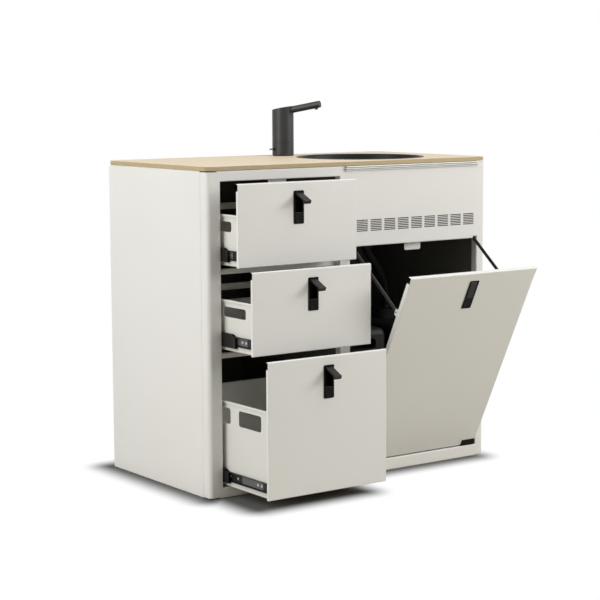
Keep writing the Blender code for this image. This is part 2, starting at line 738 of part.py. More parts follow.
def build_back_and_floor():
    """Back and floor trays between the side panels' flanges."""
    left = BODY_FLANGE + FIT
    right = WIDTH - left
    rear_flange = REAR_LINER_GAP - FIT
    bm = pan((left, DEPTH - rear_flange, 0), (right, DEPTH, BODY_TOP), (1, -1))
    back = add_piece("back_panel", mesh_from(bm, "back_panel"), "white", CABINET)
    solidify(back, BODY_SHEET)
    bm = block((left, BODY_FLANGE + FIT, 0), (right, DEPTH - rear_flange - FIT, BODY_SHEET))
    add_piece("floor_panel", mesh_from(bm, "floor_panel"), "black", CABINET)


def build_worktop():
    """Wood board with rounded corners, cut for the sink and the tap's shank."""
    low = (-WORKTOP_OVERHANG, -WORKTOP_OVERHANG, HEIGHT - WORKTOP_THICKNESS)
    high = (WIDTH + WORKTOP_OVERHANG, DEPTH + WORKTOP_OVERHANG, HEIGHT)
    bm = block(low, high, WORKTOP_CORNER_RADIUS, 2, CORNER_SEGMENTS)
    rims = [e for e in bm.edges if abs(edge_direction(e).z) < HALF_SHARE]
    bmesh.ops.bevel(bm, geom=rims, offset=WORKTOP_EDGE_RADIUS, segments=1,
                    profile=HALF_SHARE, affect="EDGES")
    board = add_piece("worktop", mesh_from(bm, "worktop"), "wood", CABINET)
    through = WORKTOP_THICKNESS + OVERRUN * 2
    middle = HEIGHT - WORKTOP_THICKNESS * HALF_SHARE
    sink_hole = SINK_RADIUS - SINK_RIM + SINK_CLEARANCE
    cut(board, rod((SINK_X, SINK_Y, middle), sink_hole, through, 2, LARGE_ROUND_SEGMENTS))
    cut(board, rod((TAP_X, TAP_Y, middle), TAP_SHANK_RADIUS + SINK_CLEARANCE, through, 2))


def build_table_rail():
    """Metal profile below the worktop, with a groove along its front for a hook-on table."""
    right = WIDTH - RAIL_RIGHT_INSET
    top = HEIGHT - WORKTOP_THICKNESS - RAIL_DROP
    bottom = top - RAIL_HEIGHT
    back = -FIT
    front = -RAIL_DEPTH
    middle = (top + bottom) * HALF_SHARE
    half_groove = RAIL_GROOVE * HALF_SHARE
    inner = RAIL_LIP
    outline = ((back, bottom), (front, bottom), (front, middle - half_groove),
               (front + RAIL_WALL, middle - half_groove),
               (front + RAIL_WALL, middle - half_groove - inner * HALF_SHARE),
               (back - RAIL_WALL, middle - half_groove - inner * HALF_SHARE),
               (back - RAIL_WALL, middle + half_groove + inner * HALF_SHARE),
               (front + RAIL_WALL, middle + half_groove + inner * HALF_SHARE),
               (front + RAIL_WALL, middle + half_groove),
               (front, middle + half_groove), (front, top), (back, top))
    bm = side_plate(outline, right - RAIL_LENGTH, RAIL_LENGTH)
    add_piece("table_rail", mesh_from(bm, "table_rail"), "rail", CABINET)


def runner_outer(face_x, way, centre_z):
    """Channel fixed to a side wall; way is +1 when it opens to the right."""
    half = RUNNER_OUTER_HEIGHT * HALF_SHARE
    lip = RUNNER_MIDDLE_HEIGHT * HALF_SHARE + RUNNER_LIP_GAP
    inner = half - RUNNER_SHEET
    reach = RUNNER_OUTER_REACH
    upper = ((-WELD_BITE, half), (reach, half), (reach, lip), (reach - RUNNER_SHEET, lip),
             (reach - RUNNER_SHEET, inner), (RUNNER_SHEET, inner))
    return runner_profile(upper, face_x, way, centre_z, RUNNER_FRONT, RUNNER_LENGTH)


def runner_profile(upper, face_x, way, centre_z, start, length):
    """Channel from the upper half of its outline, mirrored about the runner's middle."""
    lower = [(u, -v) for u, v in reversed(upper)]
    outline = [(face_x + u * way, centre_z + v) for u, v in (*upper, *lower)]
    return extruded(outline, start, length)


def runner_centre(row):
    return FRONT_BOTTOMS[row] + RUNNER_RISE


def build_inner_walls():
    """Black inner walls; the two beside the drawers carry the outer runner members."""
    side_left = BODY_SHEET + FIT
    side_right = WIDTH - side_left
    plan = ((side_left, LINER_FRONT), (RUNNER_LEFT_FACE, LINER_FRONT),
            (RUNNER_LEFT_FACE, LINER_BACK), (side_left, LINER_BACK))
    left_wall = liner("runner_panel_left", plan)
    for row in range(len(FRONT_TOPS)):
        join(left_wall, runner_outer(RUNNER_LEFT_FACE, 1, runner_centre(row)))
    plan = ((RUNNER_RIGHT_FACE, LINER_BACK), (RUNNER_RIGHT_FACE, LINER_FRONT),
            (FLAP_WINDOW_LEFT, LINER_FRONT), (FLAP_WINDOW_LEFT, LINER_BACK))
    middle_wall = liner("partition", plan)
    for row in range(len(FRONT_TOPS)):
        join(middle_wall, runner_outer(RUNNER_RIGHT_FACE, -1, runner_centre(row)))
    cut(middle_wall, stay_slot(FLAP_WINDOW_LEFT - LINER_SHEET - OVERRUN,
                               LINER_SHEET + OVERRUN * 2))
    plan = ((side_right, LINER_BACK), (FLAP_WINDOW_RIGHT, LINER_BACK),
            (FLAP_WINDOW_RIGHT, LINER_FRONT), (side_right, LINER_FRONT))
    right_wall = liner("bay_liner_right", plan)
    cut(right_wall, stay_slot(FLAP_WINDOW_RIGHT - OVERRUN, LINER_SHEET + OVERRUN * 2))
    liner("rear_liner", ((side_left, REAR_LINER_Y), (side_right, REAR_LINER_Y)))


def liner(name, plan):
    """Black sheet standing on a line in plan, with its thickness behind its visible face."""
    bm = upright_sheet(plan, LINER_BOTTOM, LINER_TOP)
    wall = add_piece(name, mesh_from(bm, name), "black", CABINET)
    solidify(wall, LINER_SHEET)
    return wall


def build_drawer(row, pull):
    """One drawer: front pan, box and the runner members that move with it."""
    number = row + 1
    carrier = make_empty("drawer_%d" % number, CABINET, (0, -pull, 0))
    build_drawer_front(number, carrier, FRONT_BOTTOMS[row], FRONT_TOPS[row])
    build_drawer_box(number, carrier, row)
    middle_carrier = make_empty("runner_%d" % number, CABINET, (0, -pull * HALF_SHARE, 0))
    sides = {"left": (RUNNER_LEFT_FACE, 1), "right": (RUNNER_RIGHT_FACE, -1)}
    for side, (face_x, way) in sides.items():
        build_runner_inner(number, side, carrier, face_x, way, runner_centre(row))
        build_runner_middle(number, side, middle_carrier, face_x, way, runner_centre(row),
                            RUNNER_MIDDLE_SETBACKS[row])
    build_latch("%d" % number, carrier, DRAWER_MIDDLE, FRONT_TOPS[row], True)


def build_drawer_front(number, carrier, bottom, top):
    """Folded pan: side flanges stop below the top corners, the top is an open channel."""
    side_top = top - FRONT_CORNER_OPEN
    bm = flat_sheet(FRONT_LEFT, FRONT_RIGHT, bottom, top, (), (side_top,))
    fold(bm, lambda p: p.z < side_top, (0, FRONT_FLANGE, 0))
    fold(bm, lambda p: near(p.z, top) and near(p.y, 0), (0, FRONT_FLANGE, 0))
    fold(bm, lambda p: near(p.z, top) and near(p.y, FRONT_FLANGE), (0, 0, -FRONT_LIP))
    round_folds(bm, lambda p: near(p.z, top) and near(p.y, 0), FRONT_BEND, CORNER_SEGMENTS - 1)
    name = "drawer_front_%d" % number
    front = add_piece(name, mesh_from(bm, name), "white", carrier)
    solidify(front, FRONT_SHEET)
    cut(front, cup_shape(DRAWER_MIDDLE, top, CUP_CLEARANCE, -OVERRUN, FRONT_FLANGE + OVERRUN))


def cup_shape(x, top, spare, front, back):
    """Upright block of a latch cup's outline, with clearance, between two depths."""
    half = LATCH_WIDTH * HALF_SHARE - CUP_BORDER + spare
    high = top - LATCH_DROP - CUP_BORDER + spare
    low = top - LATCH_DROP - LATCH_HEIGHT + CUP_BORDER - spare
    return block((x - half, front, low), (x + half, back, high))


def build_drawer_box(number, carrier, row):
    """Open sheet box with rolled hems, hand slots and a notch for the latch cup."""
    top = FRONT_TOPS[row] - BOX_DROPS[row]
    bottom = FRONT_BOTTOMS[row] + BOX_BOTTOM_RISE
    back = BOX_FRONT + BOX_LENGTH
    bm = pan((BOX_LEFT, BOX_FRONT, bottom), (BOX_RIGHT, back, top - BOX_SHEET), (2, 1))
    hem_places = (
        (lambda p: near(p.x, BOX_LEFT), (-HEM_GAP, 0, 0)),
        (lambda p: near(p.x, BOX_RIGHT), (HEM_GAP, 0, 0)),
        (lambda p: near(p.y, back), (0, HEM_GAP, 0)),
    )
    for chosen, way in hem_places:
        fold(bm, lambda p: near(p.z, top - BOX_SHEET) and chosen(p), way)
        fold(bm, lambda p: near(p.z, top - BOX_SHEET) and chosen(p - Vector(way)),
             (0, 0, -HEM_HEIGHT))
    name = "drawer_box_%d" % number
    box = add_piece(name, mesh_from(bm, name), "white", carrier)
    solidify(box, BOX_SHEET)
    cut(box, merged(*hand_slots(top, HAND_SLOT_HEIGHTS[row])))
    if top > FRONT_TOPS[row] - LATCH_DROP - LATCH_HEIGHT:
        notch = cup_shape(DRAWER_MIDDLE, FRONT_TOPS[row], LATCH_NOTCH_SPACE, -OVERRUN,
                          BOX_FRONT + OVERRUN)
        cut(box, notch)


def hand_slots(top, height):
    """Two rounded slots through both side walls."""
    slots = []
    for place in range(2):
        start = HAND_SLOT_START + place * (HAND_SLOT_LENGTH + HAND_SLOT_WEB)
        high = top - HAND_SLOT_DROP
        slots.append(block((BOX_LEFT - OVERRUN, start, high - height),
                           (BOX_RIGHT + OVERRUN, start + HAND_SLOT_LENGTH, high),
                           HAND_SLOT_RADIUS, 0))
    return slots


def build_runner_inner(number, side, carrier, face_x, way, centre_z):
    """Channel on the drawer box's side, with its fixing holes."""
    half = RUNNER_INNER_HEIGHT * HALF_SHARE
    inner = half - RUNNER_SHEET
    back = RUNNER_THICKNESS
    web = back - RUNNER_SHEET
    lip = RUNNER_INNER_START
    upper = ((back, half), (lip, half), (lip, inner), (web, inner))
    name = "runner_inner_%d_%s" % (number, side)
    bm = runner_profile(upper, face_x, way, centre_z, RUNNER_INNER_SETBACK, RUNNER_LENGTH)
    piece = add_piece(name, mesh_from(bm, name), "steel", carrier)
    holes = [rod((face_x + back * way, RUNNER_INNER_SETBACK + place, centre_z),
                 RUNNER_HOLE_RADIUS, RUNNER_SHEET * 2 + FIT, 0, SMALL_ROUND_SEGMENTS)
             for place in RUNNER_HOLE_PLACES]
    cut(piece, merged(*holes))


def build_runner_middle(number, side, carrier, face_x, way, centre_z, setback):
    """Channel that rides between the outer and the inner member at half their speed."""
    half = RUNNER_MIDDLE_HEIGHT * HALF_SHARE
    inner = half - RUNNER_SHEET
    lip = RUNNER_INNER_HEIGHT * HALF_SHARE + RUNNER_LIP_GAP
    start = RUNNER_MIDDLE_START
    end = RUNNER_MIDDLE_END
    upper = ((start, half), (end, half), (end, lip), (end - RUNNER_SHEET, lip),
             (end - RUNNER_SHEET, inner), (start + RUNNER_SHEET, inner))
    name = "runner_middle_%d_%s" % (number, side)
    bm = runner_profile(upper, face_x, way, centre_z, setback, RUNNER_MIDDLE_LENGTH)
    add_piece(name, mesh_from(bm, name), "steel", carrier)


def build_latch(label, carrier, x, front_top, lever_out):
    """Paddle latch: housing, lever, push button and bolt, placed by the front's top edge."""
    top = front_top - LATCH_DROP
    add_piece("latch_housing_" + label, LATCH_MESHES["housing"], "black", carrier, (x, 0, top))
    turn = -LEVER_ANGLE if lever_out else 0.0
    pivot = (x, LEVER_BARREL_RADIUS, top - LEVER_PIVOT_DROP)
    lever_carrier = make_empty("lever_" + label, carrier, pivot, turn)
    add_piece("latch_lever_" + label, LATCH_MESHES["lever"], "black", lever_carrier)
    add_piece("latch_button_" + label, LATCH_MESHES["button"], "black", carrier, (x, 0, top))
    tip = front_top - STRIKE_DROP - BOLT_UNDER_STRIKE
    if not lever_out:
        tip += BOLT_TRAVEL
    add_piece("latch_bolt_" + label, LATCH_MESHES["bolt"], "steel", carrier,
              (x, BOLT_FRONT, tip))


def make_latch_meshes():
    """Meshes shared by the four latches; the housing's origin is its top middle on the front."""
    half = LATCH_WIDTH * HALF_SHARE
    plate = block((-half, -LATCH_PROUD, -LATCH_HEIGHT), (half, -FIT, 0), LATCH_RADIUS, 1)
    housing = add_piece("latch_housing", mesh_from(plate, "latch_housing"), "black", None)
    cup_half = half - CUP_BORDER
    join(housing, block((-cup_half, -FIT * 2, CUP_BORDER - LATCH_HEIGHT),
                        (cup_half, CUP_DEPTH, -CUP_BORDER)))
    recess_half = RECESS_WIDTH * HALF_SHARE
    recess_bottom = -RECESS_TOP_WALL - RECESS_HEIGHT
    cut(housing, block((-recess_half, -OVERRUN, recess_bottom),
                       (recess_half, RECESS_DEPTH, -RECESS_TOP_WALL)))
    button_half = BUTTON_WIDTH * HALF_SHARE + BUTTON_CLEARANCE
    button_room = BUTTON_DEPTH + BUTTON_TRAVEL + BUTTON_CLEARANCE
    cut(housing, block((-button_half, -OVERRUN, -BUTTON_DROP - BUTTON_HEIGHT - BUTTON_CLEARANCE),
                       (button_half, button_room, -BUTTON_DROP + BUTTON_CLEARANCE),
                       BUTTON_RADIUS, 1))
    pin_hole = rod((0, LEVER_BARREL_RADIUS, -LEVER_PIVOT_DROP),
                   LEVER_PIN_RADIUS + LEVER_PIN_CLEARANCE, LATCH_WIDTH, 0, SMALL_ROUND_SEGMENTS)
    cut(housing, pin_hole)
    bolt_half = BOLT_WIDTH * HALF_SHARE + BOLT_CLEARANCE
    bolt_low = -STRIKE_DROP - BOLT_UNDER_STRIKE + LATCH_DROP - BOLT_LENGTH - BOLT_CLEARANCE
    cut(housing, block((-bolt_half, BOLT_FRONT - BOLT_CLEARANCE, bolt_low),
                       (bolt_half, BOLT_FRONT + BOLT_THICKNESS + BOLT_CLEARANCE, OVERRUN)))
    LATCH_MESHES["housing"] = baked(housing)
    LATCH_MESHES["lever"] = lever_mesh()
    LATCH_MESHES["button"] = button_mesh()
    LATCH_MESHES["bolt"] = bolt_mesh()


def lever_mesh():
    """Paddle that hangs from its pivot barrel, with a turned-in tip and two stub pins."""
    front = -LEVER_BARREL_RADIUS - LATCH_PROUD
    back = front + LEVER_THICKNESS
    tip = -LEVER_LENGTH
    hook_low = tip + LEVER_HOOK * 2
    hook_back = back + LEVER_HOOK_DEPTH
    outline = ((front, 0), (front, tip), (hook_back, tip), (hook_back, tip + LEVER_HOOK),
               (back, hook_low), (back, -LEVER_BARREL_RADIUS),
               (LEVER_BARREL_RADIUS, -LEVER_BARREL_RADIUS), (LEVER_BARREL_RADIUS, 0),
               (0, LEVER_BARREL_RADIUS))
    half = LEVER_WIDTH * HALF_SHARE
    paddle = side_plate(outline, -half, LEVER_WIDTH)
    lever = add_piece("latch_lever", mesh_from(paddle, "latch_lever"), "black", None)
    pin_length = LATCH_WIDTH - CUP_BORDER * 2 - FIT * 2
    join(lever, rod((0, 0, 0), LEVER_PIN_RADIUS, pin_length, 0, SMALL_ROUND_SEGMENTS))
    return baked(lever)


def button_mesh():
    """Push button below the lever."""
    half = BUTTON_WIDTH * HALF_SHARE
    bm = block((-half, -LATCH_PROUD, -BUTTON_DROP - BUTTON_HEIGHT),
               (half, BUTTON_DEPTH - LATCH_PROUD, -BUTTON_DROP), BUTTON_RADIUS, 1)
    return mesh_from(bm, "latch_button")


def bolt_mesh():
    """Bolt with a bevelled tip at its origin, standing behind the strike."""
    half = BOLT_WIDTH * HALF_SHARE
    outline = ((BOLT_THICKNESS, -BOLT_BEVEL), (BOLT_THICKNESS - BOLT_BEVEL, 0), (0, 0),
               (0, -BOLT_LENGTH), (BOLT_THICKNESS, -BOLT_LENGTH))
    return mesh_from(side_plate(outline, -half, BOLT_WIDTH), "latch_bolt")


def build_flap():
    """Tilting pan with notches for the hinges and ears for the stays, tipped open."""
    carrier = make_empty("flap", CABINET, (0, HINGE_SETBACK, HINGE_Z), FLAP_ANGLE)
    shut = make_empty("flap_shut_frame", carrier, (0, -HINGE_SETBACK, -HINGE_Z))
    side_top = FLAP_TOP - FRONT_CORNER_OPEN
    notch_top = FLAP_SILL + FIT + HINGE_HEIGHT + HINGE_NOTCH_TOP
    notch_left = FLAP_LEFT + HINGE_WIDTH + HINGE_NOTCH_SIDE
    notch_right = FLAP_RIGHT - HINGE_WIDTH - HINGE_NOTCH_SIDE
    bm = flat_sheet(FLAP_LEFT, FLAP_RIGHT, FLAP_BOTTOM, FLAP_TOP,
                    (notch_left, notch_right), (notch_top, side_top))
    open_window(bm, FLAP_LEFT, notch_left, FLAP_BOTTOM, notch_top)
    open_window(bm, notch_right, FLAP_RIGHT, FLAP_BOTTOM, notch_top)
    fold(bm, lambda p: p.z < side_top, (0, FLAP_FLANGE, 0))
    fold(bm, lambda p: near(p.z, FLAP_TOP) and near(p.y, 0), (0, FLAP_FLANGE, 0))
    fold(bm, lambda p: near(p.z, FLAP_TOP) and near(p.y, FLAP_FLANGE), (0, 0, -FRONT_LIP))
    round_folds(bm, lambda p: near(p.z, FLAP_TOP) and near(p.y, 0), FRONT_BEND,
                CORNER_SEGMENTS - 1)
    flap = add_piece("flap_panel", mesh_from(bm, "flap_panel"), "white", shut)
    solidify(flap, FRONT_SHEET)
    cut(flap, cup_shape(FLAP_LATCH_X, FLAP_TOP, CUP_CLEARANCE, -OVERRUN,
                        FLAP_FLANGE + OVERRUN))
    hole_y, hole_z = HINGE_SETBACK, HINGE_Z
    hole_length = FLAP_RIGHT - FLAP_LEFT
    cut(flap, rod((FLAP_LEFT + hole_length * HALF_SHARE, hole_y, hole_z),
                  HINGE_PIN_RADIUS + HINGE_PIN_CLEARANCE, hole_length, 0, SMALL_ROUND_SEGMENTS))
    for side in (1, -1):
        join(flap, stay_ear(side))
    build_latch("flap", shut, FLAP_LATCH_X, FLAP_TOP, False)
    return carrier


def flap_edge(side):
    """x of the flap's edge: side is +1 for the left edge, whose inside lies to the right."""
    return FLAP_LEFT if side > 0 else FLAP_RIGHT


def stay_ear(side):
    """Ear on a side flange with the pin that carries a stay, drawn on the shut flap."""
    edge = flap_edge(side)
    y = HINGE_SETBACK + STAY_SETBACK
    z = HINGE_Z + STAY_HEIGHT
    half_height = EAR_HEIGHT * HALF_SHARE
    x0, x1 = sorted((edge + FIT * side, edge + (FRONT_SHEET + FIT) * side))
    plate = block((x0, FLAP_FLANGE - EAR_WIDTH * HALF_SHARE, z - half_height),
                  (x1, y + half_height * HALF_SHARE, z + half_height))
    reach = FRONT_SHEET + STAY_SIDE_GAP + STAY_THICKNESS + STAY_SIDE_GAP
    pin_x = edge + side * (FIT * 2 + reach * HALF_SHARE)
    pin = rod((pin_x, y, z), STAY_PIN_RADIUS, reach, 0, SMALL_ROUND_SEGMENTS)
    ear = bpy.data.objects.new("stay_ear", mesh_from(plate, "stay_ear"))
    PARTS.objects.link(ear)
    join(ear, pin)
    whole = bmesh.new()
    mesh = baked(ear)
    whole.from_mesh(mesh)
    bpy.data.meshes.remove(mesh)
    return whole


def open_stay():
    """Pivot on the open flap, the arm's angle and its length, from its slot end."""
    c, s = math.cos(FLAP_ANGLE), math.sin(FLAP_ANGLE)
    y = HINGE_SETBACK + STAY_SETBACK * c - STAY_HEIGHT * s
    z = HINGE_Z + STAY_SETBACK * s + STAY_HEIGHT * c
    run = STAY_PIVOT_Y - y
    rise = STAY_PIVOT_Z - z
    return y, z, math.atan2(rise, run), math.hypot(run, rise)


def stay_slot_path():
    """Places of the stay's pin from open to shut, as the arm turns in step with the flap."""
    y_open, z_open, open_angle, length = open_stay()
    path = []
    for step in range(STAY_SLOT_STEPS + 1):
        share = step / STAY_SLOT_STEPS
        tilt = FLAP_ANGLE * (1 - share)
        c, s = math.cos(tilt), math.sin(tilt)
        arm = open_angle + (STAY_SHUT_ANGLE - open_angle) * share
        y = HINGE_SETBACK + STAY_SETBACK * c - STAY_HEIGHT * s + length * math.cos(arm)
        z = HINGE_Z + STAY_SETBACK * s + STAY_HEIGHT * c + length * math.sin(arm)
        path.append(Vector((y, z)))
    return path


def stay_slot(left, thickness):
    """Arched slot that guides a stay's pin: the pin's path, widened, with round ends."""
    path = stay_slot_path()
    half = STAY_PIN_RADIUS + STAY_SLOT_CLEARANCE
    first = path[0] - (path[1] - path[0]).normalized() * half
    last = path[-1] + (path[-1] - path[-2]).normalized() * half
    centre = [first, *path[1:-1], last]
    upper, lower = [], []
    befores = [first, *centre[:-1]]
    afters = [*centre[1:], last]
    for before, point, after in zip(befores, centre, afters):
        along = (after - before).normalized()
        normal = Vector((-along.y, along.x)) * half
        upper.append(point + normal)
        lower.append(point - normal)
    outline = [tuple(p) for p in upper] + [tuple(p) for p in reversed(lower)]
    return side_plate(outline, left, thickness)


def build_stays(carrier):
    """Flat arms from the flap's ears to pins that slide in the arched slots."""
    y, z, angle, length = open_stay()
    for name, side in (("left", 1), ("right", -1)):
        edge = flap_edge(side)
        half = STAY_THICKNESS * HALF_SHARE
        x = edge + side * (FRONT_SHEET + FIT + STAY_SIDE_GAP + half)
        pivot = make_empty("stay_pivot_" + name, CABINET, (x, y, z), angle)
        width = STAY_WIDTH * HALF_SHARE
        bm = block((-half, -width, -width), (half, length + width, width), width - FIT, 0,
                   CORNER_SEGMENTS)
        stay = add_piece("stay_" + name, mesh_from(bm, "stay_" + name), "steel", pivot)
        cut(stay, rod((0, 0, 0), STAY_PIN_RADIUS + EAR_PIN_CLEARANCE, STAY_THICKNESS * 2, 0,
                      SMALL_ROUND_SEGMENTS))
        wall = FLAP_WINDOW_LEFT if side > 0 else FLAP_WINDOW_RIGHT
        reach = abs(x - wall) + STAY_PIN_REACH
        pin_place = (-side * reach * HALF_SHARE, length, 0)
        join(stay, rod(pin_place, STAY_PIN_RADIUS, reach, 0, SMALL_ROUND_SEGMENTS))


def build_hinges():
    """Black corner blocks on the sill, each with the pin that the flap turns on."""
    low = FLAP_SILL + FIT
    high = low + HINGE_HEIGHT
    for name, side in (("left", 1), ("right", -1)):
        edge = flap_edge(side)
        inner = edge + side * HINGE_WIDTH
        x0, x1 = sorted((edge, inner))
        bm = block((x0, HINGE_FACE_SETBACK, low), (x1, HINGE_FACE_SETBACK + HINGE_DEPTH, high))
        corner = [e for e in bm.edges if abs(edge_direction(e).y) > HALF_SHARE
                  and near(e.verts[0].co.x, inner) and near(e.verts[0].co.z, high)]
        bmesh.ops.bevel(bm, geom=corner, offset=HINGE_CHAMFER, segments=SMALL_SEGMENTS,
                        profile=HALF_SHARE, affect="EDGES")
        hinge = add_piece("flap_hinge_" + name, mesh_from(bm, "flap_hinge_" + name), "black",
                          CABINET)
        length = HINGE_PIN_LENGTH + WELD_BITE
        middle = inner + side * (length * HALF_SHARE - WELD_BITE)
        join(hinge, rod((middle, HINGE_SETBACK, HINGE_Z), HINGE_PIN_RADIUS, length, 0,
                        SMALL_ROUND_SEGMENTS))


def build_sink():
    """Turned black bowl with a rim on the worktop, and its waste fitting."""
    rim_top = HEIGHT + FIT + SINK_RIM_THICKNESS
    wall = SINK_RADIUS - SINK_RIM
    floor = BOWL_BOTTOM
    fillet = [(SINK_FLOOR_RADIUS - SINK_FILLET + SINK_FILLET * math.sin(a),
               floor + SINK_FILLET - SINK_FILLET * math.cos(a))
              for a in (0, math.radians(30), math.radians(60), math.radians(80))]
    inner = [(DRAIN_RADIUS, floor - SINK_FALL), *fillet,
             (wall - SINK_WALL, HEIGHT - SINK_WALL), (wall, rim_top)]
    outer = [(SINK_RADIUS, rim_top), (SINK_RADIUS, HEIGHT + FIT), (wall, HEIGHT + FIT),
             (wall, HEIGHT - SINK_WALL * 2)]
    lower = [(r + SINK_WALL * math.sin(a), z - SINK_WALL * math.cos(a))
             for (r, z), a in zip(fillet, (0, math.radians(30), math.radians(60),
                                           math.radians(80)))]
    profile = [*inner, *outer, *reversed(lower), (DRAIN_RADIUS, floor - SINK_FALL - SINK_WALL)]
    turned_piece("sink_bowl", profile, "black", CABINET, (SINK_X, SINK_Y, 0),
                 LARGE_ROUND_SEGMENTS)
    seat = floor - SINK_FALL
    flange = WASTE_FLANGE_RADIUS
    hub = DRAIN_RADIUS - FIT
    under = seat - SINK_WALL
    slope = SINK_FALL * (flange - DRAIN_RADIUS) / (SINK_FLOOR_RADIUS - SINK_FILLET - DRAIN_RADIUS)
    profile = [
        (WASTE_BORE, seat), (flange - WASTE_FLANGE_THICKNESS, seat + WASTE_FLANGE_THICKNESS),
        (flange, seat + slope + FIT * 2), (hub, seat + FIT * 2), (hub, under - FIT),
        (WASTE_NUT_RADIUS, under - FIT), (WASTE_NUT_RADIUS, under - WASTE_NUT_THICKNESS),
        (WASTE_TAIL_RADIUS, under - WASTE_NUT_THICKNESS),
        (WASTE_TAIL_RADIUS, under - WASTE_TAIL_LENGTH),
        (WASTE_BORE, under - WASTE_TAIL_LENGTH),
    ]
    turned_piece("sink_waste", profile, "steel", CABINET, (SINK_X, SINK_Y, 0))


def build_tap():
    """Fixed base with the pin lever, and the column that swivels on it."""
    foot = HEIGHT + FIT
    seam = foot + TAP_BASE_HEIGHT
    board = HEIGHT - WORKTOP_THICKNESS
    edge = TAP_EDGE_RADIUS
    profile = [
        (0, seam), (TAP_RADIUS, seam), (TAP_RADIUS, foot + edge), (TAP_RADIUS - edge, foot),
        (TAP_SHANK_RADIUS, foot), (TAP_SHANK_RADIUS, board - FIT),
        (TAP_NUT_RADIUS, board - FIT), (TAP_NUT_RADIUS, board - FIT - TAP_NUT_THICKNESS),
        (TAP_SHANK_RADIUS, board - FIT - TAP_NUT_THICKNESS),
        (TAP_SHANK_RADIUS, board - TAP_SHANK_LENGTH), (0, board - TAP_SHANK_LENGTH),
    ]
    base = turned_piece("faucet_base", profile, "tap", CABINET, (TAP_X, TAP_Y, 0))
    lever_z = foot + TAP_LEVER_RISE
    half = TAP_LEVER_POCKET_HEIGHT * HALF_SHARE
    side = TAP_LEVER_RADIUS + FIT
    inner_x = TAP_RADIUS - TAP_LEVER_IN
    cut(base, block((-TAP_RADIUS - OVERRUN, -side, lever_z - half),
                    (-inner_x, side, lever_z + half)))
    pivot_x = TAP_X - inner_x - side
    lever_carrier = make_empty("tap_lever_pivot", CABINET, (pivot_x, TAP_Y, lever_z))
    length = TAP_LEVER_IN - side + TAP_LEVER_OUT
    bm = rod((-length * HALF_SHARE, 0, 0), TAP_LEVER_RADIUS, length, 0, SMALL_ROUND_SEGMENTS)
    add_piece("faucet_lever", mesh_from(bm, "faucet_lever"), "tap", lever_carrier)
    build_tap_column(seam + FIT)


def build_tap_column(bottom):
    """Round column cut off at the spout's slope, joined to the spout and its nozzle."""
    towards_sink = math.atan2(SINK_Y - TAP_Y, SINK_X - TAP_X)
    turn = Matrix.Rotation(towards_sink, 3, "Z")
    carrier = make_empty("tap_swivel", CABINET, (TAP_X, TAP_Y, bottom))
    slope_rise = math.tan(SPOUT_SLOPE)
    low_top = HEIGHT + TAP_COLUMN_LEFT_HEIGHT - bottom
    middle_top = low_top + TAP_RADIUS * slope_rise
    tall = low_top + TAP_RADIUS * 2
    bm = rod((0, 0, tall * HALF_SHARE), TAP_RADIUS, tall, 2, TAP_SEGMENTS)
    normal = Vector((-math.sin(SPOUT_SLOPE), 0, math.cos(SPOUT_SLOPE)))
    cut_geometry = list(bm.verts) + list(bm.edges) + list(bm.faces)
    result = bmesh.ops.bisect_plane(bm, geom=cut_geometry, plane_co=(0, 0, middle_top),
                                    plane_no=normal, clear_outer=True)
    rim = [e for e in result["geom_cut"] if isinstance(e, bmesh.types.BMEdge)]
    bmesh.ops.edgeloop_fill(bm, edges=rim)
    bmesh.ops.rotate(bm, cent=(0, 0, 0), matrix=turn, verts=bm.verts)
    column = add_piece("faucet_column", mesh_from(bm, "faucet_column"), "tap", carrier)
    run = SPOUT_REACH / math.cos(SPOUT_SLOPE)
    spout = rod((run * HALF_SHARE, 0, 0), SPOUT_RADIUS, run, 0, ROUND_SEGMENTS)
    bmesh.ops.rotate(spout, cent=(0, 0, 0), matrix=Matrix.Rotation(-SPOUT_SLOPE, 3, "Y"),
                     verts=spout.verts)
    drop = SPOUT_RADIUS / math.cos(SPOUT_SLOPE) + FIT
    bmesh.ops.translate(spout, vec=(0, 0, middle_top - drop), verts=spout.verts)
    bmesh.ops.rotate(spout, cent=(0, 0, 0), matrix=turn, verts=spout.verts)
    join(column, spout)
    nozzle_x = SPOUT_REACH - NOZZLE_INSET
    nozzle_z = middle_top - drop + nozzle_x * slope_rise - SPOUT_RADIUS
    nozzle = rod((nozzle_x, 0, nozzle_z), NOZZLE_RADIUS, NOZZLE_LENGTH + SPOUT_RADIUS, 2,
                 SMALL_ROUND_SEGMENTS)
    bmesh.ops.rotate(nozzle, cent=(0, 0, 0), matrix=turn, verts=nozzle.verts)
    join(column, nozzle)


